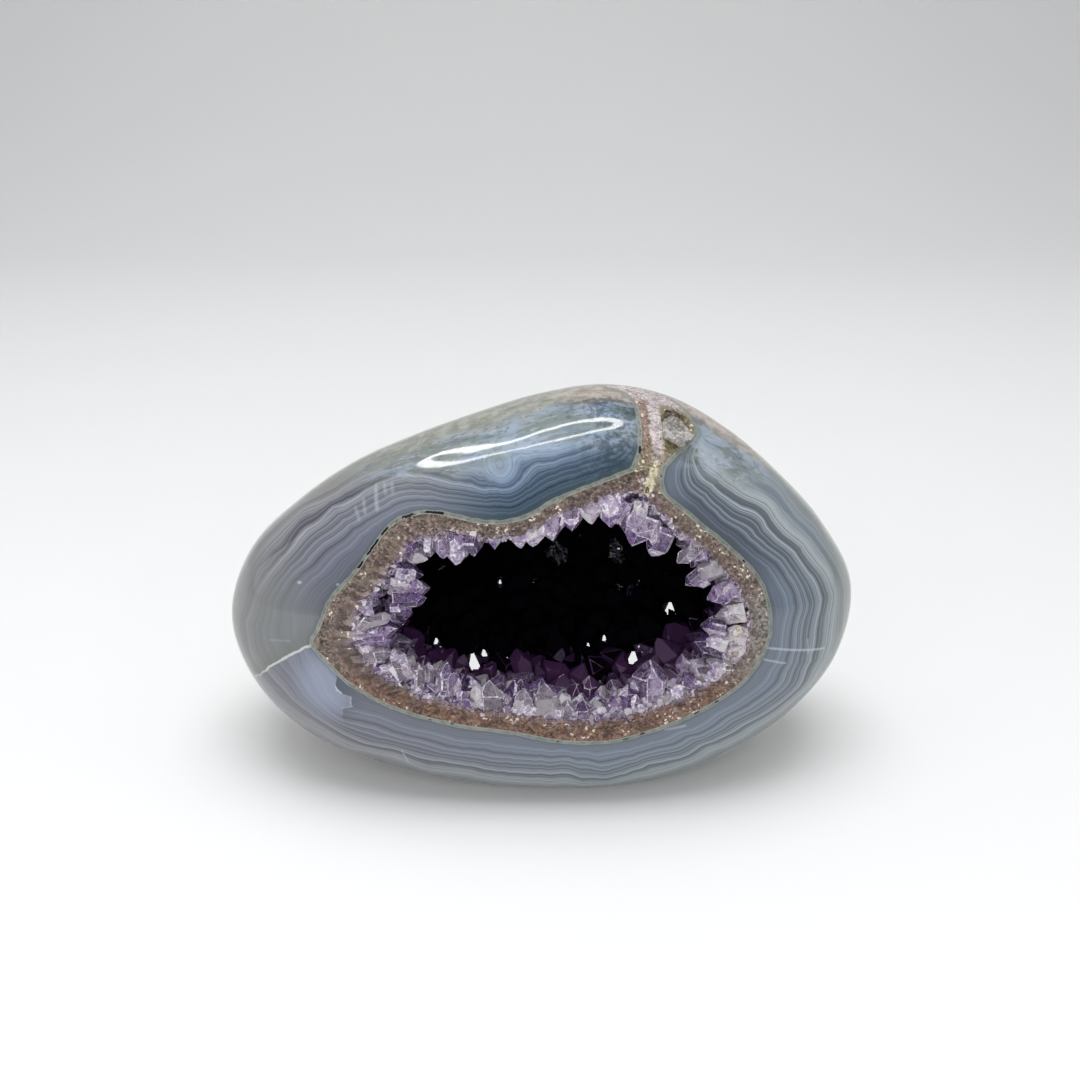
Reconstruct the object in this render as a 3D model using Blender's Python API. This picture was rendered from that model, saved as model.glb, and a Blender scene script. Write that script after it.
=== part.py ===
"""Geode half: a polished agate egg whose open face shows a hollow lined with amethyst.

Shapes are laid out in millimetres and turned into metres where a vertex is made. +Z is up, and
+Y runs from the open face into the hollow. The origin is the centre of the stone's underside,
at the middle of its length and depth.
"""

import math
import random

import bmesh
import bpy
from mathutils import Vector
from mathutils.bvhtree import BVHTree

MM = 0.001
GAP = 0.3

# The stone's outline from the front, as x and height, counter-clockwise from its right end
STONE_OUTLINE = [
    (63.9, 36.1), (57.4, 47.9), (48.2, 57.7), (37.9, 66.3), (26.1, 72.8), (12.9, 75.1), (-0.4, 73.1),
    (-13.4, 69.1), (-26.0, 64.5), (-38.4, 59.0), (-49.6, 51.5), (-59.4, 42.1), (-63.9, 29.5),
    (-59.9, 17.2), (-50.0, 8.0), (-37.0, 3.2), (-23.9, 0.3), (-10.5, -1.2), (3.0, -1.8),
    (16.5, -1.8), (29.8, 0.3), (42.3, 5.1), (53.8, 12.4), (62.1, 22.9),
]
CENTRE_HEIGHT = 36.0
FRONT_DEPTH = 28.5
BACK_DEPTH = 29.5
BACKWARD_LEAN = 0.08
CROWN_POWER = 2.15
UNDERSIDE_POWER = 2.4
STONE_STEPS = 3
STONE_RINGS = 24

# The hollow's mouth in the agate, as x and height, clockwise from its left tip
MOUTH_OUTLINE = [
    (-43.0, 33.5), (-41.5, 36.5), (-39.0, 42.0), (-34.0, 47.5), (-31.0, 51.5), (-27.5, 55.5),
    (-24.0, 57.3), (-19.0, 58.2), (-10.0, 57.6), (-3.0, 58.7), (3.5, 62.0), (12.0, 64.8),
    (18.5, 66.0), (22.0, 62.5), (26.5, 58.8), (34.0, 52.6), (40.5, 46.0), (43.0, 39.0),
    (42.5, 32.7), (38.0, 26.5), (29.5, 21.4), (19.0, 17.6), (12.0, 16.2), (3.0, 16.7),
    (-5.0, 18.5), (-16.0, 20.0), (-27.5, 23.0), (-36.0, 27.0), (-40.5, 31.0),
]
# The inner wall of the quartz lining, which the crystals stand on
LINING_OUTLINE = [
    (-33.0, 36.0), (-30.0, 44.0), (-25.0, 50.5), (-19.0, 54.5), (-10.0, 55.0), (-3.0, 56.0),
    (4.0, 59.3), (12.0, 62.0), (18.5, 61.5), (24.5, 56.0), (32.0, 49.5), (37.0, 43.0),
    (38.5, 37.0), (36.0, 31.0), (28.0, 26.5), (18.0, 23.3), (6.0, 22.0), (-5.0, 23.5),
    (-16.0, 25.0), (-27.0, 29.0),
]
MOUTH_STEPS = 2
HOLLOW_MIDDLE = (2.0, 40.0)
MOUTH_FRONT = -45.0
DOME_FRONT = -6.0
MOUTH_BACK = 20.0
LINING_BACK = 16.0
DOME_POWER = 2.4
DOME_SHARES = (0.0, 0.35, 0.6, 0.78, 0.9, 0.97)

# The vein over the crown, as x and y seen from above, clockwise from where it leaves the mouth
VEIN_OUTLINE = [
    (13.5, -19.8), (16.4, -16.8), (18.2, -14.2), (18.9, -10.5), (18.8, -6.0), (18.3, -1.5),
    (16.5, 3.0), (13.0, 7.0), (20.0, 8.5), (25.5, 4.5), (28.0, -1.0), (29.3, -5.0), (27.5, -8.7),
    (24.2, -12.3), (22.2, -14.8), (21.8, -17.0), (23.0, -19.8),
]
VEIN_FLOOR = 59.0
VEIN_TOP = 80.0
POCKET_PLACE = (25.0, -4.5)
POCKET_SIZE = (3.2, 4.6, 3.0)
POCKET_CRYSTALS = 9
POCKET_SPREAD = (2.4, 3.6)
POCKET_CRYSTAL_SINK = 2.4

# Rows of crystals from the mouth inwards: how far in (0 to 1), how many, radius, length, and how
# much they lean towards the mouth
CRYSTAL_ROWS = [
    (0.06, 30, 3.1, 7.0, 0.15),
    (0.28, 22, 3.8, 7.0, 0.10),
    (0.54, 17, 4.3, 7.0, 0.15),
    (0.82, 13, 4.6, 6.5, 0.50),
]
BACK_CRYSTALS = 12
BACK_CRYSTAL_SIZE = (4.6, 6.5)
BACK_SPREAD = (30.0, 15.0)
POCKET_CRYSTAL_SIZE = (1.1, 1.6)
SIZE_RANGE = (0.8, 1.25)
GOLDEN_TURN = math.radians(137.5)
POINT_SLOPE = 1.15
TAPER = 0.92
ROOTING = 2.5
SEED = 11


def smooth_loop(points, steps):
    """Points on a smooth closed curve through the given ones, with some steps in each span."""
    count = len(points)
    loop = []
    for index in range(count):
        before, start, end, after = (Vector(points[(index + k) % count]) for k in (-1, 0, 1, 2))
        for step in range(steps):
            t = step / steps
            loop.append(
                0.5 * (2 * start + (end - before) * t
                       + (2 * before - 5 * start + 4 * end - after) * t ** 2
                       + (3 * start - before - 3 * end + after) * t ** 3)
            )
    return loop


def inset_loop(points, distance):
    """The same closed outline, moved inwards by a distance at right angles to its run."""
    loop = [Vector(point) for point in points]
    area = sum(a.x * b.y - b.x * a.y for a, b in zip(loop, loop[1:] + loop[:1]))
    turn = distance if area > 0 else -distance
    inner = []
    for before, point, after in zip(loop[-1:] + loop, loop, loop[1:] + loop[:1]):
        run = (after - before).normalized()
        inner.append(point + turn * Vector((-run.y, run.x)))
    return inner


def new_material(name, colour, roughness):
    """A plain finish for one of the stone's parts."""
    material = bpy.data.materials.new(name)
    material.use_nodes = True
    shader = material.node_tree.nodes["Principled BSDF"]
    shader.inputs["Base Color"].default_value = (*colour, 1.0)
    shader.inputs["Roughness"].default_value = roughness
    shader.inputs["Metallic"].default_value = 0.0
    material.diffuse_color = (*colour, 1.0)
    return material


def new_object(name, builder, material=None):
    """An object whose mesh is what the bmesh holds, with its faces turned out."""
    bmesh.ops.recalc_face_normals(builder, faces=builder.faces)
    mesh = bpy.data.meshes.new(name)
    builder.to_mesh(mesh)
    builder.free()
    piece = bpy.data.objects.new(name, mesh)
    bpy.context.scene.collection.objects.link(piece)
    if material:
        mesh.materials.append(material)
    return piece


def close_rings(builder, rings):
    """Faces from each ring of vertices to the next."""
    for near, far in zip(rings, rings[1:]):
        for k in range(len(near)):
            builder.faces.new((near[k], near[k - 1], far[k - 1], far[k]))


def stone_point(outline_point, turn):
    """A point on the stone's skin: turn runs from -90 degrees at the front to +90 at the back."""
    across = outline_point.x
    up = outline_point.y - CENTRE_HEIGHT
    downward = max(0.0, -up / math.hypot(across, up))
    power = CROWN_POWER + UNDERSIDE_POWER * downward ** 1.5
    reach = (abs(math.cos(turn)) ** power + abs(math.sin(turn)) ** power) ** (-1 / power)
    spread = reach * math.cos(turn)
    depth = reach * math.sin(turn) * (FRONT_DEPTH if turn < 0 else BACK_DEPTH)
    lean = BACKWARD_LEAN * up * spread
    return MM * Vector((across * spread, depth + lean, CENTRE_HEIGHT + up * spread))


def stone_form(name, material=None):
    """The whole stone as one closed egg, sawn flat underneath to stand on."""
    outline = smooth_loop(STONE_OUTLINE, STONE_STEPS)
    builder = bmesh.new()
    rings = []
    for index in range(1, STONE_RINGS):
        turn = math.pi * (index / STONE_RINGS - 0.5)
        rings.append([builder.verts.new(stone_point(point, turn)) for point in outline])
    close_rings(builder, rings)
    for ring, depth in ((rings[0], -FRONT_DEPTH), (rings[-1], BACK_DEPTH)):
        pole = builder.verts.new(MM * Vector((0.0, depth, CENTRE_HEIGHT)))
        for k in range(len(outline)):
            builder.faces.new((ring[k - 1], ring[k], pole))
    everything = builder.verts[:] + builder.edges[:] + builder.faces[:]
    sawn = bmesh.ops.bisect_plane(
        builder, geom=everything, plane_co=(0, 0, 0), plane_no=(0, 0, -1), clear_outer=True)
    rim = [edge for edge in sawn["geom_cut"] if isinstance(edge, bmesh.types.BMEdge)]
    bmesh.ops.contextual_create(builder, geom=rim)
    return new_object(name, builder, material)


def dome_width(depth, back):
    """How wide the hollow still is at a depth: 1 up to where its dome starts, 0 at its back."""
    closing = max(0.0, depth - DOME_FRONT) / (back - DOME_FRONT)
    return max(0.0, 1 - closing ** DOME_POWER) ** (1 / DOME_POWER)


def hollow_form(name, outline, back):
    """A closed plug that reaches out through the stone's face and ends in a dome inside."""
    middle = Vector(HOLLOW_MIDDLE)
    depths = [MOUTH_FRONT] + [DOME_FRONT + share * (back - DOME_FRONT) for share in DOME_SHARES]
    builder = bmesh.new()
    rings = []
    for depth in depths:
        flat = [middle + dome_width(depth, back) * (Vector(p) - middle) for p in outline]
        rings.append([builder.verts.new((MM * p.x, MM * depth, MM * p.y)) for p in flat])
    close_rings(builder, rings)
    builder.faces.new(rings[0])
    builder.faces.new(rings[-1])
    return new_object(name, builder)


def vein_form(name, outline, floor):
    """A closed upright prism over the vein's course, from inside the stone to above it."""
    builder = bmesh.new()
    foot = builder.faces.new([builder.verts.new((MM * x, MM * y, MM * floor)) for x, y in outline])
    risen = bmesh.ops.extrude_face_region(builder, geom=[foot])
    top = [vert for vert in risen["geom"] if isinstance(vert, bmesh.types.BMVert)]
    bmesh.ops.translate(builder, verts=top, vec=(0, 0, MM * (VEIN_TOP - floor)))
    return new_object(name, builder)


def pocket_form(name, place):
    """The small bowl in the vein's fill, with its middle on the stone's skin."""
    builder = bmesh.new()
    bmesh.ops.create_icosphere(builder, subdivisions=2, radius=MM)
    bmesh.ops.scale(builder, verts=builder.verts, vec=POCKET_SIZE)
    bmesh.ops.translate(builder, verts=builder.verts, vec=MM * place)
    return new_object(name, builder)


def add_crystal(builder, root, direction, radius, length, spin):
    """One quartz crystal: a six-sided prism that ends in a six-sided pyramid."""
    turned = direction.to_track_quat("Z", "Y")
    shoulder = max(length - POINT_SLOPE * radius, 0.25 * length)
    rings = []
    for height, width in ((0.0, radius), (shoulder, TAPER * radius)):
        ring = []
        for side in range(6):
            angle = spin + side * math.pi / 3
            corner = Vector((width * math.cos(angle), width * math.sin(angle), height))
            ring.append(builder.verts.new(MM * (root + turned @ corner)))
        rings.append(ring)
    foot, neck = rings
    tip = builder.verts.new(MM * (root + turned @ Vector((0.0, 0.0, length))))
    close_rings(builder, rings)
    builder.faces.new(foot)
    for side in range(6):
        builder.faces.new((neck[side - 1], neck[side], tip))


def wall_crystals(name, skin):
    """The hollow's crystals, row behind row round its wall and spread over its domed back."""
    chance = random.Random(SEED)
    middle = Vector(HOLLOW_MIDDLE)
    loop = smooth_loop(LINING_OUTLINE, 8)
    builder = bmesh.new()
    for row, (share, count, radius, length, facing) in enumerate(CRYSTAL_ROWS):
        for place in range(count):
            step = (place + 0.5 * (row % 2) + chance.uniform(-0.2, 0.2)) / count
            flat = loop[int(step * len(loop)) % len(loop)]
            front = front_of(skin, flat)
            depth = front + share * (LINING_BACK - front) + chance.uniform(-0.8, 0.8)
            inward = (middle - flat).normalized()
            wall = middle + dome_width(depth, LINING_BACK) * (flat - middle)
            plant_crystal(builder, chance, Vector((wall.x, depth, wall.y)),
                          Vector((inward.x, -facing, inward.y)), radius, length)
    for place in range(BACK_CRYSTALS):
        across, up = sunflower(place, BACK_CRYSTALS, BACK_SPREAD)
        foot = Vector((middle.x + across, LINING_BACK, middle.y + up))
        plant_crystal(builder, chance, foot, Vector((0.0, -1.0, 0.0)), *BACK_CRYSTAL_SIZE)
    return new_object(name, builder)


def sunflower(place, count, reach):
    """Spots spread evenly over an ellipse that reaches this far each way, from the middle out."""
    turn = place * GOLDEN_TURN
    spread = math.sqrt((place + 0.5) / count)
    return reach[0] * spread * math.cos(turn), reach[1] * spread * math.sin(turn)


def plant_crystal(builder, chance, foot, direction, radius, length):
    """One crystal that stands out of a wall at its foot, a little off the given direction."""
    size = chance.uniform(*SIZE_RANGE)
    leaning = direction + Vector([chance.uniform(-0.3, 0.3) for _ in range(3)])
    leaning.normalize()
    add_crystal(builder, foot - ROOTING * leaning, leaning, radius * size,
                ROOTING + length * size, chance.uniform(0.0, math.pi))


def pocket_crystals(name, place):
    """The small crystals that stand up from the floor of the vein's pocket."""
    chance = random.Random(SEED)
    builder = bmesh.new()
    for index in range(POCKET_CRYSTALS):
        across, along = sunflower(index, POCKET_CRYSTALS, POCKET_SPREAD)
        foot = place + Vector((across, along, -POCKET_CRYSTAL_SINK))
        plant_crystal(builder, chance, foot, Vector((0.0, 0.0, 1.0)), *POCKET_CRYSTAL_SIZE)
    return new_object(name, builder)


def front_of(skin, flat):
    """How far forward the stone's face is at a place in the front view."""
    hit = skin.ray_cast(Vector((MM * flat.x, MM * MOUTH_FRONT, MM * flat.y)), Vector((0, 1, 0)))
    return hit[0].y / MM


def carve(piece, operation, tool):
    """Joins a tool's shape to a piece, or takes it away, or keeps what they share."""
    tool.hide_render = True
    tool.display_type = "WIRE"
    cut = piece.modifiers.new(tool.name, "BOOLEAN")
    cut.operation = operation
    cut.solver = "EXACT"
    cut.use_self = True
    cut.object = tool


def settle(piece):
    """Turns a piece's modifiers into its mesh, and leaves out any stray bit cut off from it."""
    shaped = piece.evaluated_get(bpy.context.evaluated_depsgraph_get())
    mesh = bpy.data.meshes.new_from_object(shaped)
    piece.modifiers.clear()
    piece.data = mesh
    builder = bmesh.new()
    builder.from_mesh(mesh)
    left = set(builder.verts)
    groups = []
    while left:
        group = [left.pop()]
        for vert in group:
            for edge in vert.link_edges:
                other = edge.other_vert(vert)
                if other in left:
                    left.remove(other)
                    group.append(other)
        groups.append(group)
    groups.sort(key=len)
    for group in groups[:-1]:
        bmesh.ops.delete(builder, geom=group, context="VERTS")
    builder.to_mesh(mesh)
    builder.free()


def build():
    for thing in list(bpy.data.objects):
        bpy.data.objects.remove(thing, do_unlink=True)

    agate = new_material("agate", (0.33, 0.38, 0.45), 0.08)
    amethyst = new_material("amethyst", (0.30, 0.17, 0.36), 0.15)

    mouth = smooth_loop(MOUTH_OUTLINE, MOUTH_STEPS)
    whole_stone = stone_form("whole_stone")
    skin = BVHTree.FromPolygons([vert.co for vert in whole_stone.data.vertices],
                                [face.vertices for face in whole_stone.data.polygons])

    shell = stone_form("agate_shell", agate)
    carve(shell, "DIFFERENCE", hollow_form("mouth_cutter", mouth, MOUTH_BACK))
    carve(shell, "DIFFERENCE", vein_form("vein_cutter", VEIN_OUTLINE, VEIN_FLOOR))
    settle(shell)
    shell.data.shade_smooth()
    shell.data.set_sharp_from_angle(angle=math.radians(35))

    place = Vector((*POCKET_PLACE, 0.0))
    above = skin.ray_cast(MM * (place + Vector((0, 0, VEIN_TOP))), Vector((0, 0, -1)))
    place.z = above[0].z / MM

    hollow_space = hollow_form("hollow_space", LINING_OUTLINE, LINING_BACK)
    carve(hollow_space, "DIFFERENCE", wall_crystals("wall_crystals", skin))
    settle(hollow_space)
    pocket_space = pocket_form("pocket_space", place)
    carve(pocket_space, "DIFFERENCE", pocket_crystals("pocket_crystals", place))
    settle(pocket_space)

    crust = hollow_form("amethyst_crust", inset_loop(mouth, GAP), MOUTH_BACK - GAP)
    crust.data.materials.append(amethyst)
    carve(crust, "UNION", vein_form("vein_fill", inset_loop(VEIN_OUTLINE, GAP), VEIN_FLOOR + GAP))
    carve(crust, "INTERSECT", whole_stone)
    carve(crust, "DIFFERENCE", hollow_space)
    carve(crust, "DIFFERENCE", pocket_space)
    settle(crust)


build()
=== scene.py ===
import math

import bmesh
import bpy
import numpy as np
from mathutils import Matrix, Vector, noise
from mathutils.bvhtree import BVHTree
from mathutils.kdtree import KDTree


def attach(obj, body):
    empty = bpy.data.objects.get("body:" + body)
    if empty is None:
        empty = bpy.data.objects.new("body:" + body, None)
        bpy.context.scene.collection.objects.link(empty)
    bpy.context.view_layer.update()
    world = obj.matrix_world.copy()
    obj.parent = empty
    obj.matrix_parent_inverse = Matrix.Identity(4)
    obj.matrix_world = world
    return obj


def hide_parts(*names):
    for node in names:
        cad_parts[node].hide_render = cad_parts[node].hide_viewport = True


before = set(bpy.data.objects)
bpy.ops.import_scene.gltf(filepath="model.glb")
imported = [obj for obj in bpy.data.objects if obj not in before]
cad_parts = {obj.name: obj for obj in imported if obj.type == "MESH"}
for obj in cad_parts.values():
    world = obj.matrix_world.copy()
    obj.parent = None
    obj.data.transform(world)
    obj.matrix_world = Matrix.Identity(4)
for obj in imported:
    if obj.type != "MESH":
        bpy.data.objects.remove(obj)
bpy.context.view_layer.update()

# Shapes are laid out in millimetres, in the part's own frame, and scaled when a mesh is made
MM = 0.001
GOLDEN_TURN = math.radians(137.5)
SEED = 23

# The stone's skin, as in the part
STONE_OUTLINE = [
    (63.9, 36.1), (57.4, 47.9), (48.2, 57.7), (37.9, 66.3), (26.1, 72.8), (12.9, 75.1), (-0.4, 73.1),
    (-13.4, 69.1), (-26.0, 64.5), (-38.4, 59.0), (-49.6, 51.5), (-59.4, 42.1), (-63.9, 29.5),
    (-59.9, 17.2), (-50.0, 8.0), (-37.0, 3.2), (-23.9, 0.3), (-10.5, -1.2), (3.0, -1.8),
    (16.5, -1.8), (29.8, 0.3), (42.3, 5.1), (53.8, 12.4), (62.1, 22.9),
]
CENTRE_HEIGHT = 36.0
FRONT_DEPTH = 28.5
BACK_DEPTH = 29.5
BACKWARD_LEAN = 0.08
CROWN_POWER = 2.15
UNDERSIDE_POWER = 2.4

MOUTH_OUTLINE = [
    (-43.0, 33.5), (-41.5, 36.5), (-39.0, 42.0), (-34.0, 47.5), (-31.0, 51.5), (-27.5, 55.5),
    (-24.0, 57.3), (-19.0, 58.2), (-10.0, 57.6), (-3.0, 58.7), (3.5, 62.0), (12.0, 64.8),
    (18.5, 66.0), (22.0, 62.5), (26.5, 58.8), (34.0, 52.6), (40.5, 46.0), (43.0, 39.0),
    (42.5, 32.7), (38.0, 26.5), (29.5, 21.4), (19.0, 17.6), (12.0, 16.2), (3.0, 16.7),
    (-5.0, 18.5), (-16.0, 20.0), (-27.5, 23.0), (-36.0, 27.0), (-40.5, 31.0),
]
LINING_OUTLINE = [
    (-33.0, 36.0), (-30.0, 44.0), (-25.0, 50.5), (-19.0, 54.5), (-10.0, 55.0), (-3.0, 56.0),
    (4.0, 59.3), (12.0, 62.0), (18.5, 61.5), (24.5, 56.0), (32.0, 49.5), (37.0, 43.0),
    (38.5, 37.0), (36.0, 31.0), (28.0, 26.5), (18.0, 23.3), (6.0, 22.0), (-5.0, 23.5),
    (-16.0, 25.0), (-27.0, 29.0),
]
HOLLOW_MIDDLE = np.array((2.0, 40.0))
MOUTH_FRONT = -45.0
DOME_FRONT = -6.0
MOUTH_BACK = 20.0
LINING_BACK = 16.0
DOME_POWER = 2.4

VEIN_OUTLINE = [
    (13.5, -19.8), (16.4, -16.8), (18.2, -14.2), (18.9, -10.5), (18.8, -6.0), (18.3, -1.5),
    (16.5, 3.0), (13.0, 7.0), (20.0, 8.5), (25.5, 4.5), (28.0, -1.0), (29.3, -5.0), (27.5, -8.7),
    (24.2, -12.3), (22.2, -14.8), (21.8, -17.0), (23.0, -19.8),
]
VEIN_FLOOR = 59.0
VEIN_TOP = 80.0

# The agate's bands, counted outwards: 0 at the hollow's rim, 1 at the last dark line before the
# skin. Each course is one line round the face, as x and z in millimetres.
BAND_COURSES = [
    (0.35, [(-47.0, 30.0), (-51.0, 33.0), (-50.5, 36.0), (-49.5, 40.0), (-46.0, 45.0), (-43.0, 47.5),
            (-36.5, 53.0), (-30.0, 57.0), (-26.0, 59.0), (-21.5, 60.0), (-14.5, 60.0), (-5.0, 60.5),
            (-2.0, 62.0), (3.5, 64.5), (11.0, 66.5), (14.0, 67.0), (17.0, 68.5), (18.0, 70.5)]),
    (0.35, [(27.5, 68.0), (25.5, 64.5), (27.0, 62.5), (31.5, 58.5), (37.0, 54.0), (42.0, 50.0),
            (46.0, 46.0), (48.5, 41.5), (49.0, 39.0), (48.0, 31.0), (46.5, 26.0), (42.0, 21.5),
            (38.5, 20.0), (31.0, 16.0), (27.0, 14.5), (19.5, 13.0), (13.5, 10.5), (7.5, 12.0),
            (-4.0, 13.0), (-15.5, 14.0), (-24.5, 16.0), (-30.5, 18.0), (-38.5, 18.5), (-44.0, 22.5),
            (-48.5, 28.0)]),
    (0.66, [(-57.5, 26.0), (-57.5, 34.5), (-55.0, 39.5), (-50.5, 45.5), (-46.0, 50.5), (-42.5, 53.5),
            (-39.5, 56.0), (-36.5, 57.0), (-32.0, 60.0), (-27.0, 62.0), (-25.5, 63.0), (-24.0, 62.5),
            (-20.5, 63.0), (-15.5, 62.5), (-13.0, 63.0), (-10.5, 62.5), (-6.0, 63.0), (-3.5, 64.0),
            (-1.5, 67.0), (1.5, 67.0), (7.5, 69.0), (14.0, 70.5), (17.5, 72.0), (18.0, 73.5)]),
    (0.66, [(29.5, 69.0), (28.0, 67.0), (30.5, 63.5), (35.0, 60.0), (40.0, 57.5), (43.5, 53.5),
            (48.5, 48.5), (53.0, 42.5), (54.5, 38.0), (54.0, 34.0), (53.0, 28.5), (51.0, 21.5),
            (46.0, 18.0), (40.0, 15.5), (34.0, 13.5), (27.5, 10.0), (21.5, 10.0), (16.5, 6.5),
            (11.0, 6.0), (4.0, 8.0), (-8.0, 8.5), (-19.5, 10.5), (-25.0, 10.5), (-27.0, 12.0),
            (-35.0, 13.0), (-43.0, 16.0), (-50.0, 20.5), (-53.5, 22.0)]),
    (0.83, [(-61.5, 30.0), (-60.5, 35.0), (-56.0, 44.0), (-52.5, 48.0), (-49.0, 51.0), (-45.5, 54.0),
            (-42.5, 55.5), (-39.0, 57.5), (-35.0, 60.0), (-31.0, 61.5), (-27.0, 63.5), (-24.0, 64.5),
            (-20.0, 65.0), (-13.0, 67.0), (-7.5, 68.5), (-3.0, 68.0), (4.0, 69.0), (11.0, 71.0),
            (16.5, 72.5)]),
    (0.83, [(30.0, 69.0), (31.0, 66.0), (35.0, 62.5), (39.5, 59.5), (42.0, 58.5), (46.5, 53.5),
            (51.0, 49.0), (55.5, 43.5), (58.0, 38.0), (57.5, 32.5), (56.5, 26.5), (53.5, 21.5),
            (48.0, 17.0), (41.0, 13.5), (34.0, 10.5), (27.5, 8.0), (19.5, 6.0), (12.0, 4.0),
            (4.0, 5.0), (-8.0, 6.0), (-15.5, 7.5), (-22.5, 7.5), (-27.5, 10.0), (-35.5, 11.0)]),
    (1.0, [(-62.0, 34.0), (-58.5, 42.0), (-53.0, 48.5), (-48.0, 52.5), (-40.5, 57.0), (-35.5, 60.0),
           (-30.0, 63.0), (-25.0, 64.5), (-21.5, 66.0), (-15.5, 67.5), (-9.0, 69.0), (-1.0, 70.5),
           (8.0, 72.5)]),
    (1.0, [(31.5, 68.0), (34.5, 65.0), (39.0, 62.0), (42.5, 60.0), (46.0, 57.0), (49.0, 53.5),
           (53.5, 48.5), (58.0, 42.5), (60.0, 34.5), (60.0, 30.0)]),
]


def smooth_loop(points, steps):
    """Points on a smooth closed curve through the given ones, with some steps in each span."""
    points = np.array(points, float)
    before, start, end, after = (np.roll(points, shift, axis=0) for shift in (1, 0, -1, -2))
    t = np.arange(steps)[:, None, None] / steps
    loop = 0.5 * (2 * start + (end - before) * t
                  + (2 * before - 5 * start + 4 * end - after) * t ** 2
                  + (3 * start - before - 3 * end + after) * t ** 3)
    return loop.transpose(1, 0, 2).reshape(-1, 2)


def inset_loop(loop, distance):
    """The same closed outline, moved inwards by a distance at right angles to its run."""
    after = np.roll(loop, -1, axis=0)
    area = np.sum(loop[:, 0] * after[:, 1] - after[:, 0] * loop[:, 1])
    run = after - np.roll(loop, 1, axis=0)
    run /= np.linalg.norm(run, axis=1)[:, None]
    return loop + math.copysign(distance, area) * np.stack([-run[:, 1], run[:, 0]], axis=1)


def stone_skin(outline, turns):
    """Points of the stone's skin, one ring for each turn from -90 degrees, front, to 90, back."""
    across = outline[:, 0]
    up = outline[:, 1] - CENTRE_HEIGHT
    downward = np.clip(-up / np.hypot(across, up), 0.0, None)
    power = CROWN_POWER + UNDERSIDE_POWER * downward ** 1.5
    turns = np.asarray(turns)[:, None]
    reach = (np.abs(np.cos(turns)) ** power + np.abs(np.sin(turns)) ** power) ** (-1 / power)
    spread = reach * np.cos(turns)
    depth = reach * np.sin(turns) * np.where(turns < 0, FRONT_DEPTH, BACK_DEPTH)
    return np.stack([across * spread, depth + BACKWARD_LEAN * up * spread,
                     CENTRE_HEIGHT + up * spread], axis=-1)


def dome_width(depth, back):
    """How wide the hollow still is at a depth: 1 up to where its dome starts, 0 at its back."""
    closing = np.clip((depth - DOME_FRONT) / (back - DOME_FRONT), 0.0, 1.0)
    return (1 - closing ** DOME_POWER) ** (1 / DOME_POWER)


def new_piece(name, points, faces):
    """An object from points in millimetres, linked to the scene."""
    mesh = bpy.data.meshes.new(name)
    mesh.from_pydata([tuple(point) for point in np.asarray(points) * MM], [], faces)
    piece = bpy.data.objects.new(name, mesh)
    bpy.context.scene.collection.objects.link(piece)
    return piece


def ring_faces(rings, columns, first=0):
    """Quads between rings of points that are numbered one ring after another."""
    faces = []
    for ring in range(rings - 1):
        near = first + ring * columns
        for k in range(columns):
            after = (k + 1) % columns
            faces.append((near + k, near + after, near + columns + after, near + columns + k))
    return faces


def face_out(piece):
    """Turns all the faces of a closed mesh outwards."""
    builder = bmesh.new()
    builder.from_mesh(piece.data)
    bmesh.ops.recalc_face_normals(builder, faces=builder.faces)
    builder.to_mesh(piece.data)
    builder.free()


def stone_form(name, steps, rings):
    """The whole stone as one closed mesh, sawn flat underneath."""
    outline = smooth_loop(STONE_OUTLINE, steps)
    turns = math.pi * (np.arange(1, rings) / rings - 0.5)
    skin = stone_skin(outline, turns)
    count = len(outline)
    points = np.concatenate([skin.reshape(-1, 3), [(0.0, -FRONT_DEPTH, CENTRE_HEIGHT)],
                             [(0.0, BACK_DEPTH, CENTRE_HEIGHT)]])
    faces = ring_faces(rings - 1, count)
    front, back = len(points) - 2, len(points) - 1
    last = (rings - 2) * count
    for k in range(count):
        after = (k + 1) % count
        faces.append((k, after, front))
        faces.append((last + after, last + k, back))
    stone = new_piece(name, points, faces)
    builder = bmesh.new()
    builder.from_mesh(stone.data)
    everything = builder.verts[:] + builder.edges[:] + builder.faces[:]
    sawn = bmesh.ops.bisect_plane(
        builder, geom=everything, plane_co=(0, 0, 0), plane_no=(0, 0, -1), clear_outer=True)
    rim = [edge for edge in sawn["geom_cut"] if isinstance(edge, bmesh.types.BMEdge)]
    bmesh.ops.contextual_create(builder, geom=rim)
    bmesh.ops.recalc_face_normals(builder, faces=builder.faces)
    builder.to_mesh(stone.data)
    builder.free()
    return stone


def hollow_ring(outline, back, depth):
    """The hollow's outline at one depth, closing in like a dome behind."""
    flat = HOLLOW_MIDDLE + dome_width(depth, back) * (outline - HOLLOW_MIDDLE)
    return np.stack([flat[:, 0], np.full(len(flat), depth), flat[:, 1]], axis=1)


def dome_depths(back, steps):
    """Depths down the dome, from where it starts to near its back."""
    return DOME_FRONT + (back - DOME_FRONT) * np.sin(np.linspace(0.0, 0.985 * math.pi / 2, steps))


def closed_rings(name, rings):
    """A closed mesh from rings of points, with a flat face over each end."""
    rings = np.asarray(rings)
    count = rings.shape[1]
    points = rings.reshape(-1, 3)
    faces = ring_faces(len(rings), count)
    faces.append(tuple(range(count))[::-1])
    faces.append(tuple(range(len(points) - count, len(points))))
    piece = new_piece(name, points, faces)
    face_out(piece)
    return piece


def hollow_form(name, outline, back):
    """A closed plug that reaches out through the stone's face and ends in a dome inside."""
    depths = [MOUTH_FRONT, *np.linspace(-34.0, DOME_FRONT, 12, endpoint=False), *dome_depths(back, 14)]
    return closed_rings(name, [hollow_ring(outline, back, depth) for depth in depths])


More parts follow.
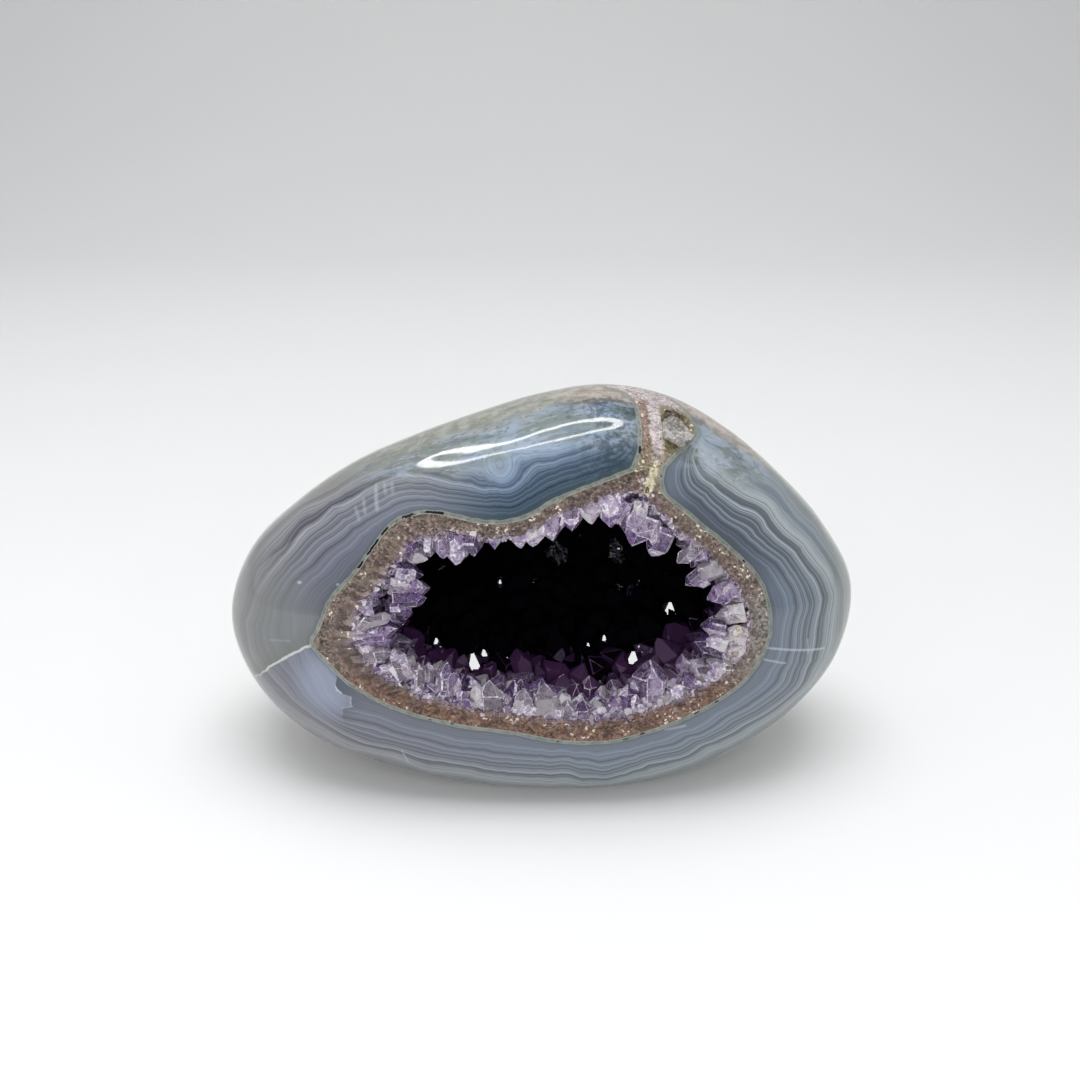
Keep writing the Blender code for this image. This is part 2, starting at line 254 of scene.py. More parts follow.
def vein_form(name, outline, floor):
    """A closed upright prism over the vein's course."""
    count = len(outline)
    foot = np.column_stack([outline, np.full(count, floor)])
    top = np.column_stack([outline, np.full(count, VEIN_TOP)])
    faces = ring_faces(2, count)
    faces.append(tuple(range(count))[::-1])
    faces.append(tuple(range(count, 2 * count)))
    prism = new_piece(name, np.concatenate([foot, top]), faces)
    face_out(prism)
    return prism


def carve(piece, operation, tool):
    """Joins a tool's shape to a piece, takes it away, or keeps what they share, and uses it up."""
    cut = piece.modifiers.new("carve", "BOOLEAN")
    cut.operation = operation
    cut.solver = "EXACT"
    cut.object = tool
    shaped = piece.evaluated_get(bpy.context.evaluated_depsgraph_get())
    mesh = bpy.data.meshes.new_from_object(shaped)
    piece.modifiers.clear()
    piece.data = mesh
    bpy.data.objects.remove(tool, do_unlink=True)


def write_attribute(piece, name, values):
    """Stores one number for each point of a piece's mesh, for its material to read."""
    attribute = piece.data.attributes.new(name, "FLOAT", "POINT")
    attribute.data.foreach_set("value", np.asarray(values, dtype=np.float32))


def points_of(piece):
    """A piece's points, in millimetres."""
    flat = np.empty(3 * len(piece.data.vertices), dtype=np.float32)
    piece.data.vertices.foreach_get("co", flat)
    return flat.reshape(-1, 3).astype(float) / MM


def face_depth(across, height):
    """The y of the stone's front skin at an x and z."""
    outline = smooth_loop(STONE_OUTLINE, 8) - (0.0, CENTRE_HEIGHT)
    up = np.asarray(height) - CENTRE_HEIGHT
    angle = np.arctan2(up, across)
    reach = np.interp(angle, np.arctan2(outline[:, 1], outline[:, 0]), np.hypot(*outline.T),
                      period=2 * math.pi)
    share = np.clip(np.hypot(across, up) / reach, 0.0, 1.0)
    power = CROWN_POWER + UNDERSIDE_POWER * np.clip(-np.sin(angle), 0.0, None) ** 1.5
    return BACKWARD_LEAN * up - FRONT_DEPTH * (1 - share ** power) ** (1 / power)


def on_face(course):
    """Points on the stone's front skin, from a list of x and z."""
    course = np.array(course, float)
    return np.column_stack([course[:, 0], face_depth(course[:, 0], course[:, 1]), course[:, 1]])


def along(course, spacing):
    """Points at even steps along an open course."""
    course = np.array(course, float)
    travelled = np.concatenate([[0.0], np.cumsum(np.linalg.norm(np.diff(course, axis=0), axis=1))])
    steps = np.linspace(0.0, travelled[-1], max(2, round(travelled[-1] / spacing)))
    return np.column_stack([np.interp(steps, travelled, axis) for axis in course.T])


def rim_points(piece):
    """Points along the edges where the skin meets a cut wall, above the sawn base."""
    builder = bmesh.new()
    builder.from_mesh(piece.data)
    points = []
    for edge in builder.edges:
        if len(edge.link_faces) == 2 and edge.calc_face_angle(0.0) > RIM_ANGLE:
            start, end = (vert.co / MM for vert in edge.verts)
            if min(start.z, end.z) > RIM_LOWEST:
                steps = max(1, round((end - start).length / RIM_SPACING))
                points += [start.lerp(end, step / steps) for step in range(steps)]
    builder.free()
    return points


RIM_ANGLE = math.radians(32)
RIM_LOWEST = 8.0
RIM_SPACING = 0.25


def distances(places, targets):
    """How far each place is from the nearest of the targets."""
    tree = KDTree(len(targets))
    for index, target in enumerate(targets):
        tree.insert(target, index)
    tree.balance()
    return np.array([tree.find(place)[2] for place in places])


def spread_values(known, values, places):
    """Numbers at some places, spread smoothly from the places where they are known."""
    def terms(points):
        apart = np.linalg.norm(points[:, None, :] - known[None, :, :], axis=2)
        return np.hstack([apart, np.ones((len(points), 1)), points])
    count = len(known)
    system = np.zeros((count + 4, count + 4))
    system[:count] = terms(known)
    system[count:, :count] = system[:count, count:].T
    system[:count, :count] += np.eye(count) * BAND_SLACK
    weights = np.linalg.solve(system, np.concatenate([values, np.zeros(4)]))
    return np.concatenate([terms(part) @ weights for part in np.array_split(places, 40)])


BAND_SLACK = -0.4
COURSE_SPACING = 2.4


def band_values(places, rim):
    """The band that each place of the stone's skin lies on."""
    known = [np.array(rim[::8])]
    values = [np.zeros(len(known[0]))]
    for band, course in BAND_COURSES:
        points = along(on_face(course), COURSE_SPACING)
        known.append(points)
        values.append(np.full(len(points), band))
    for radius, band in ORB_RINGS:
        count = max(1, round(5 * radius))
        turns = 2 * math.pi * np.arange(count) / count
        ring = np.column_stack([ORB_PLACE[0] + radius * np.cos(turns),
                                ORB_PLACE[1] + 0.8 * radius * np.sin(turns)])
        known.append(on_face(ring))
        values.append(np.full(count, band))
    outline = smooth_loop(STONE_OUTLINE, 1)
    for turn, band in BACK_BANDS:
        ring = stone_skin(outline, [math.radians(turn)])[0]
        known.append(ring)
        values.append(np.full(len(ring), band))
    return spread_values(np.concatenate(known), np.concatenate(values), places)


# The round eye in the bands above the hollow
ORB_PLACE = (-7.6, 66.3)
ORB_RINGS = [(0.01, 0.96), (1.6, 0.9), (2.6, 0.78)]
# Band values on the hidden back, by the turn round from the silhouette
BACK_BANDS = [(20, 1.5), (50, 2.0), (85, 2.6)]


def crystal_planes(rng, radius, length, root, aimed=False):
    """The faces of a quartz point that stands on the origin: six sides, six facets and a foot."""
    planes = []
    start = rng.uniform(0.0, math.pi)
    for k in range(6):
        if aimed and k == 0:
            start = 0.0
            planes.append((1.0, 0.0, 0.0, radius))
            reach = (length - 0.25 * radius) * math.cos(FACET_TILT)
            planes.append((math.sin(FACET_TILT), 0.0, math.cos(FACET_TILT), reach))
            continue
        turn = start + k * math.pi / 3 + rng.normal(0.0, 0.05)
        out = np.array((math.cos(turn), math.sin(turn), 0.0))
        side = radius * rng.uniform(0.78, 1.18)
        planes.append((*out, side))
        slope = FACET_TILT + rng.normal(0.0, 0.035)
        facet = (*(math.sin(slope) * out[:2]), math.cos(slope))
        spare = rng.uniform(0.0, 0.12) if k % 2 else rng.uniform(0.1, 0.5)
        planes.append((*facet, length * math.cos(slope) + spare * radius * 0.5))
    planes.append((0.0, 0.0, -1.0, root))
    return np.array(planes)


FACET_TILT = math.radians(51.8)


def solid_between(planes):
    """The corners and faces of the solid that lies behind every one of some planes."""
    normals, reaches = planes[:, :3], planes[:, 3]
    triples = TRIPLES[len(planes)]
    corners = normals[triples]
    sizes = np.linalg.det(corners)
    fit = np.abs(sizes) > 1e-6
    points = np.linalg.solve(corners[fit], reaches[triples[fit]][:, :, None])[:, :, 0]
    inside = np.all(points @ normals.T <= reaches + 1e-7, axis=1)
    points = points[inside]
    on_plane = np.abs(points @ normals.T - reaches) < 1e-6
    faces = []
    for plane, normal in enumerate(normals):
        members = np.flatnonzero(on_plane[:, plane])
        if len(members) < 3:
            continue
        spokes = points[members] - points[members].mean(axis=0)
        first = spokes[0]
        second = np.cross(normal, first)
        order = np.argsort(np.arctan2(spokes @ second, spokes @ first))
        faces.append([int(index) for index in members[order]])
    return points, faces


TRIPLES = {count: np.array([(i, j, k) for i in range(count) for j in range(i + 1, count)
                            for k in range(j + 1, count)]) for count in (13, 14)}


def inset_face(corners, widths):
    """A flat face's corners, moved in from each edge by its own width, or None where none is left."""
    run = np.roll(corners, -1, axis=0) - corners
    run = run / np.linalg.norm(run, axis=1)[:, None]
    normal = np.cross(corners - corners[0], run).sum(axis=0)
    inward = np.cross(normal / (np.linalg.norm(normal) + 1e-12), run)
    before = np.roll(inward, 1, axis=0)
    widths_before = np.roll(widths, 1)
    lean = np.sum(inward * before, axis=1)
    spare = 1 - lean ** 2
    if spare.min() < 1e-3:
        return None
    inner = (corners + ((widths_before - lean * widths) / spare)[:, None] * before
             + ((widths - lean * widths_before) / spare)[:, None] * inward)
    if np.sum((np.roll(inner, -1, axis=0) - inner) * run, axis=1).min() < 0.02:
        return None
    return inner


class Crystals:
    """Many crystals gathered into one mesh, each with its own tint and with frosted edges that are partly a
    painted highlight.
    """

    def __init__(self):
        self.points = []
        self.faces = []
        self.frosted = []
        self.tint = []
        self.tip = []
        self.gloom = []
        self.facet = []
        self.chance = np.random.default_rng(SEED)

    def grow(self, rng, foot, axis, radius, length, tint, root=1.2, cut=None, turned=None, gloom=0.0,
             rims=0.0, bright=None):
        """Adds a crystal: where it stands, which way it points, how thick and how long it is."""
        planes = crystal_planes(rng, radius, length, root * radius, turned is not None)
        if turned is None:
            turned = np.array(Vector((0.0, 0.0, 1.0)).rotation_difference(Vector(axis)).to_matrix())
        planes[:, :3] = planes[:, :3] @ turned.T
        if cut is not None:
            planes = np.vstack([planes, (*cut[0], cut[0] @ (cut[1] - foot))])
        points, faces = solid_between(planes)
        if len(points) < 4:
            return
        first = len(self.points)
        new_points = list(points)
        facets = [PLAIN_FACET if bright is None else 0.0] * len(points)
        for face in faces:
            # Each face's painted brightness, from painted shade at 0 to a painted highlight at 1
            shade = self.chance.random()
            inner = None
            if bright is not None:
                corner = points[face[0]]
                normal = np.cross(points[face[1]] - corner, points[face[2]] - corner)
                if abs(normal @ bright) > 0.9999 * np.linalg.norm(normal):
                    inner = inset_face(points[face], np.full(len(face), GLINT_BORDER))
                    shade = 1.0
            # Frosted strips round a face's edges: partly broken edges, partly a painted highlight for the
            # bright crystal edges
            if rims:
                widths = WIDEST_RIM * radius * rims * rng.uniform(0.1, 1.0, len(face)) ** 3
                inner = inset_face(points[face], widths)
            if inner is None:
                self.faces.append([first + index for index in face])
                self.frosted.append(rims > 0 and rng.random() < 0.5)
                continue
            start = len(new_points)
            new_points.extend(inner)
            count = len(face)
            facets.extend([shade] * count)
            self.faces.append([first + start + k for k in range(count)])
            frost_highlight_allowed = bright is None and gloom < 0.5 and radius < FROST_HIGHLIGHT_RADIUS
            self.frosted.append(frost_highlight_allowed and self.chance.random() < FROST_HIGHLIGHT_SHARE)
            for k in range(count):
                after = (k + 1) % count
                self.faces.append([first + face[k], first + face[after], first + start + after,
                                   first + start + k])
                self.frosted.append(True)
        new_points = np.array(new_points)
        self.points.extend(new_points + foot)
        self.tint.extend([tint] * len(new_points))
        self.gloom.extend([gloom] * len(new_points))
        self.facet.extend(facets)
        self.tip.extend(new_points @ axis / length)

    def finish(self, name, *materials):
        """Makes the piece. A second material, frost that is partly a painted highlight, goes on its frosted
        faces.
        """
        piece = new_piece(name, self.points, self.faces)
        write_attribute(piece, "tint", self.tint)
        write_attribute(piece, "tip", np.clip(self.tip, 0.0, 1.0))
        write_attribute(piece, "gloom", self.gloom)
        write_attribute(piece, "facet", self.facet)
        for material in materials:
            piece.data.materials.append(material)
        if len(materials) > 1:
            piece.data.polygons.foreach_set("material_index", np.array(self.frosted, dtype=np.int32))
        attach(piece, "root")
        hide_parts("amethyst_crust")
        return piece


# The share of small crystals' faces that are frosted all over, partly as a painted highlight, and the largest
# such crystal
FROST_HIGHLIGHT_SHARE = 0.14
FROST_HIGHLIGHT_RADIUS = 1.6
WIDEST_RIM = 1.6
GLINT_BORDER = 0.03
# How bright a face without frosted edges counts as, where 0 is painted shade and 1 a painted highlight on
# hazy looks
PLAIN_FACET = 0.7


def scatter(rng, points, faces, count):
    """Places spread evenly by area over a mesh, each with the direction its face looks in."""
    triangles = np.array([(face[0], face[k], face[k + 1])
                          for face in faces for k in range(1, len(face) - 1)])
    a, b, c = (points[triangles[:, corner]] for corner in range(3))
    across = np.cross(b - a, c - a)
    area = np.linalg.norm(across, axis=1)
    chosen = rng.choice(len(triangles), count, p=area / area.sum())
    u, v = rng.random((2, count))
    over = u + v > 1
    u[over], v[over] = 1 - u[over], 1 - v[over]
    places = a[chosen] + u[:, None] * (b - a)[chosen] + v[:, None] * (c - a)[chosen]
    return places, across[chosen] / area[chosen][:, None]


class Spacing:
    """Keeps count of what is planted, so that nothing new stands too close."""

    def __init__(self, cell):
        self.cell = cell
        self.taken = {}

    def room(self, place, radius, closeness):
        """Claims the room round a place, unless something already stands there."""
        home = tuple(int(value // self.cell) for value in place)
        for i in (-1, 0, 1):
            for j in (-1, 0, 1):
                for k in (-1, 0, 1):
                    for other, size in self.taken.get((home[0] + i, home[1] + j, home[2] + k), ()):
                        if math.dist(place, other) < closeness * (radius + size):
                            return False
        self.taken.setdefault(home, []).append((tuple(place), radius))
        return True


def crust_rings(rng, mouth):
    """Rings of points over the crust: up its outer wall, across its ground face, down the hollow."""
    travelled = along(np.vstack([mouth, mouth[:1]]), CRUST_STEP)
    outer = travelled[:-1]
    inner = toward(smooth_loop(LINING_OUTLINE, 10), outer)
    ragged = np.array([noise.noise(Vector((*point, 3.0)) * 0.45) + 0.6 * noise.noise(Vector((*point, 9.0)))
                       for point in outer])
    ragged = FUNNEL * (1 + 0.55 * ragged)[:, None]
    brink = inner + ragged * (outer - inner)
    rings = [hollow_ring(outer, MOUTH_BACK - SEAM, depth)
             for depth in dome_depths(MOUTH_BACK - SEAM, 8)[::-1]]
    front = face_depth(outer[:, 0], outer[:, 1])
    for share in (0.3, 0.6, 0.8, 0.9):
        depth = DOME_FRONT + share * (front - DOME_FRONT)
        rings.append(np.column_stack([outer[:, 0], depth, outer[:, 1]]))
    width = np.linalg.norm(outer - brink, axis=1)
    for step in range(CRUST_FACE_STEPS + 1):
        share = step / CRUST_FACE_STEPS
        rough = np.clip((share * width - 0.3) / 0.5, 0.0, 1.0)
        flat = outer + share * (brink - outer)
        flat = flat + 0.13 * rough[:, None] * rng.normal(size=flat.shape)
        depth = face_depth(flat[:, 0], flat[:, 1]) + CRUST_RELIEF * rough * rng.random(len(flat))
        rings.append(np.column_stack([flat[:, 0], depth, flat[:, 1]]))
    first_wall = len(rings) - 1
    front = face_depth(brink[:, 0], brink[:, 1])
    for step in range(1, WALL_STEPS + 1):
        down = (DOME_FRONT - front) * (step / WALL_STEPS) ** 1.3
        spread = ragged * (np.clip(1 - down / FUNNEL_DEPTH, 0.0, 1.0) ** 1.6)[:, None]
        flat = inner + spread * (outer - inner)
        rings.append(np.column_stack([flat[:, 0], front + down, flat[:, 1]]))
    rings += [hollow_ring(inner, LINING_BACK, depth) for depth in dome_depths(LINING_BACK, 26)[1:]]
    middle = np.array((HOLLOW_MIDDLE[0], 0.0, HOLLOW_MIDDLE[1]))
    for ring in rings[first_wall + 1:]:
        for index, point in enumerate(ring):
            grain = noise.noise(Vector(point) * 0.35) + 0.6 * noise.noise(Vector(point) * 0.9)
            outward = point - middle
            outward[1] = max(0.0, outward[1])
            ring[index] = point + WALL_ROUGHNESS * grain * outward / np.linalg.norm(outward)
    return np.array(rings), first_wall


CRUST_STEP = 0.38
CRUST_FACE_STEPS = 14
CRUST_RELIEF = 0.22
# How far the hollow's brink opens out towards the mouth's rim, and how deep that funnel is
FUNNEL = 0.28
FUNNEL_DEPTH = 4.5
WALL_STEPS = 34
WALL_ROUGHNESS = 0.7


def toward(loop, wanted):
    """Where an outline lies in the same directions from the hollow's middle as some points."""
    spokes = loop - HOLLOW_MIDDLE
    ways = wanted - HOLLOW_MIDDLE
    reach = np.interp(np.arctan2(ways[:, 1], ways[:, 0]), np.arctan2(spokes[:, 1], spokes[:, 0]),
                      np.hypot(*spokes.T), period=2 * math.pi)
    return HOLLOW_MIDDLE + ways * (reach / np.hypot(*ways.T))[:, None]


def wall_crystals(rng, rings):
    """Crystals all over the hollow's wall, gathered by how clear or how dark they are."""
    faces = ring_faces(len(rings), rings.shape[1])
    places, outward = scatter(rng, rings.reshape(-1, 3), faces, WALL_TRIES)
    inset = places[:, 1] - face_depth(places[:, 0], places[:, 2])
    sets = {name: Crystals() for name in CRYSTAL_LOOKS}
    spacing = Spacing(7.0)
    facets = [grow_glinting(rng, sets["glint"], spacing, np.array(place), radius)
              for place, radius in GLINTS]
    grow_by_hand(rng, sets, spacing)
    middle = np.array((HOLLOW_MIDDLE[0], -4.0, HOLLOW_MIDDLE[1]))
    for low, high, closeness, nearest, furthest in CRYSTAL_SIZES:
        for place, out, depth in zip(places, outward, inset):
            radius = rng.uniform(low, high)
            if depth < nearest or depth > furthest:
                continue
            inward = middle - place
            if out @ inward < 0:
                out = -out
            axis = out + 0.3 * rng.normal(size=3) + 0.25 * inward / 30.0
            axis /= np.linalg.norm(axis)
            length = radius * (1.27 + rng.uniform(0.0, 1.2))
            if hides(facets, place + 0.6 * length * axis, radius):
                continue
            if not spacing.room(place, radius, closeness):
                continue
            if depth < 9.0:
                axis = keep_behind(axis, place, length)
            look = choose_look(rng, place, depth)
            # Gloom: how deep the crystal stands in the hollow's painted shade; it darkens the crystal's
            # frosted edges
            gloom = float(np.clip((depth - 4.0) / 7.0, 0.0, 1.0))
            rims = 0.0 if depth > 18.0 else 0.07 if depth > 8.0 else 0.13
            sets[look].grow(rng, place, axis, radius, length, rng.random(), cut=face_cut(place),
                            gloom=gloom, rims=rims)
    return sets


def grow_by_hand(rng, sets, spacing):
    """The crystals that stand out round the brink, each with a few smaller ones beside it."""
    for foot, tip, radius, look in HAND_PLACED:
        foot = behind_face(*foot)
        axis = behind_face(*tip) - foot
        length = np.linalg.norm(axis)
        axis /= length
        spacing.room(foot, 0.6 * radius, 0.0)
        sets[look].grow(rng, foot, axis, 0.88 * radius, length, rng.uniform(0.3, 1.0), 0.3,
                        face_cut(foot), rims=0.11)
        for _ in range(COMPANIONS):
            aside = rng.normal(size=3)
            aside -= aside @ axis * axis
            aside *= rng.uniform(0.6, 1.1) * radius / np.linalg.norm(aside)
            way = axis + 0.3 * rng.normal(size=3)
            sets["druse" if rng.random() < 0.5 else look].grow(
                rng, foot + aside, way / np.linalg.norm(way), rng.uniform(0.2, 0.5) * radius,
                rng.uniform(0.3, 0.8) * length, rng.random(), 0.6, face_cut(foot + aside), rims=0.13)


def grow_glinting(rng, found, spacing, place, radius):
    """A dark crystal with one facet that sends a lamp's light straight to the camera."""
    to_camera = CAMERA_PLACE / MM - place
    to_camera /= np.linalg.norm(to_camera)
    to_lamp = front_lamp_place(int(rng.integers(len(FRONT_LAMPS)))) / MM - place
    facet = to_camera + to_lamp / np.linalg.norm(to_lamp)
    facet /= np.linalg.norm(facet)
    rise = np.array((0.0, 0.0, 1.0)) - facet[2] * facet
    rise /= np.linalg.norm(rise)
    axis = math.cos(FACET_TILT) * facet + math.sin(FACET_TILT) * rise
    side = (facet - math.cos(FACET_TILT) * axis) / math.sin(FACET_TILT)
    turned = np.column_stack([side, np.cross(axis, side), axis])
    length = 2.6 * radius
    middle = turned @ np.array((0.5 * radius, 0.0, length - 0.8 * radius))
    spacing.room(place, max(2.0, 1.8 * radius), 0.0)
    place = place + GLINT_RISE * to_camera
    spacing.room(place, 1.3 * radius, 0.0)
    found.grow(rng, place - middle, axis, radius, length, 0.8, 1.0, turned=turned, gloom=1.0,
               bright=facet)
    return place, to_camera, radius


def hides(facets, middle, radius):
    """Whether a crystal would stand between a glinting facet and the camera."""
    for place, to_camera, size in facets:
        offset = middle - place
        ahead = offset @ to_camera
        if ahead > 0.3 and np.linalg.norm(offset - ahead * to_camera) < 1.1 * radius + 0.5 * size:
            return True
    return False


def face_crystals(rng, rings, found):
    """Small grains cut level with the ground face, more of them next to the brink."""
    for ring, share in ((k, k / (len(rings) - 1)) for k in range(4, len(rings))):
        for place in rings[ring]:
            if rng.random() > FACE_GRAINS * share ** 3:
                continue
            axis = rng.normal(size=3)
            axis /= np.linalg.norm(axis)
            radius = rng.uniform(0.12, 0.42)
            place = place + (0.0, 0.1, 0.0)
            found.grow(rng, place, axis, radius, 2.0 * radius, rng.random(),
                       cut=face_cut(place, rng.uniform(-0.1, 0.0)))


FACE_GRAINS = 0.13
# How far in front of the hollow's wall the glinting facets stand
GLINT_RISE = 4.5
# Where a facet glints in the dark, as a place on the wall and a radius
GLINTS = [
    ((-13.2, -14.4, 24.3), 1.8), ((-11.4, -11.2, 24.4), 0.8), ((-21.1, -9.7, 26.3), 0.7),
    ((-20.0, -13.1, 26.3), 0.8), ((-6.7, -12.9, 23.8), 0.6), ((-8.8, 11.1, 28.8), 0.5),
    ((-6.6, 2.7, 24.5), 0.5), ((20.3, 9.2, 28.0), 1.1), ((27.6, 1.8, 27.3), 1.5), ((16.2, 9.5, 27.1), 0.4),
    ((13.5, -2.7, 22.8), 0.7), ((10.1, -4.4, 22.1), 0.5), ((6.5, -5.3, 21.7), 0.5),
    ((18.9, -11.2, 23.2), 1.4), ((14.5, -17.6, 22.8), 0.9), ((17.1, 14.3, 35.7), 0.5),
    ((1.8, 15.3, 33.8), 0.4), ((4.6, 15.2, 33.6), 0.4), ((11.8, -19.7, 22.3), 0.7),
    ((21.9, -2.2, 24.5), 0.4),
]


def behind_face(across, height, inset):
    """The point so far behind the stone's face at an x and z."""
    return np.array((across, face_depth(across, height) + inset, height))


def keep_behind(axis, place, length):
    """Tilts a crystal so that its tip stays just behind the stone's face."""
    normal, skin = face_cut(place)
    room = (skin - place) @ normal + 0.2
    rise = axis @ normal
    if rise * length <= room:
        return axis
    flat = axis - rise * normal
    rise = max(-0.6, room / length)
    return flat / np.linalg.norm(flat) * math.sqrt(1 - rise ** 2) + rise * normal


def choose_look(rng, place, depth):
    """Which look a crystal has: clear and pale at the brink, violet behind it, then near black, partly the
    deep violet of amethyst and partly painted shade.
    """
    depth = depth + rng.normal(0.0, 1.2)
    if depth > BED_DEPTH:
        return "dark"
    if depth > RIM_DEPTH:
        return "bed"
    turn = math.degrees(math.atan2(place[2] - HOLLOW_MIDDLE[1], place[0] - HOLLOW_MIDDLE[0]))
    shares = [np.interp(turn, *np.array(share).T, period=360.0) for share in LOOK_SHARES.values()]
    return str(rng.choice(list(LOOK_SHARES), p=np.array(shares) / sum(shares)))


WALL_TRIES = 26000
# Smaller crystals beside each of the listed crystals
COMPANIONS = 4
# How common each look is round the brink, by the direction from the hollow's middle in degrees
LOOK_SHARES = {
    "white": [(-150, 0.1), (-110, 0.2), (-90, 0.25), (-75, 0.1), (-32, 0.0), (-20, 0.9), (5, 0.9),
              (18, 0.15), (45, 0.1), (62, 0.35), (80, 0.4), (105, 0.1), (165, 0.1), (178, 0.5)],
    "druse": [(-150, 0.3), (-110, 0.3), (-85, 0.25), (-70, 0.2), (-40, 0.3), (0, 0.4), (20, 0.3),
              (60, 0.3), (100, 0.3), (150, 0.3)],
    "clear": [(-150, 0.3), (-110, 0.4), (-80, 0.45), (0, 0.2), (35, 0.6), (70, 0.2), (120, 0.2)],
    "pale": [(-150, 0.4), (-110, 0.2), (-60, 0.35), (0, 0.3), (90, 0.5), (180, 0.5)],
    "violet": [(-90, 0.45), (0, 0.3), (35, 0.5), (90, 0.3), (180, 0.4)],
}
RIM_DEPTH = 7.0
BED_DEPTH = 15.0
# Smallest and largest radius, how close they stand as a share of their radii, and how far behind
# the face they start and end
CRYSTAL_SIZES = [
    (2.2, 3.2, 0.8, 11.0, 60.0), (1.5, 2.2, 0.74, 4.5, 60.0), (0.9, 1.4, 0.7, 1.6, 30.0),
    (0.5, 0.8, 0.72, 0.5, 14.0), (0.3, 0.45, 0.8, 0.2, 6.0),
]
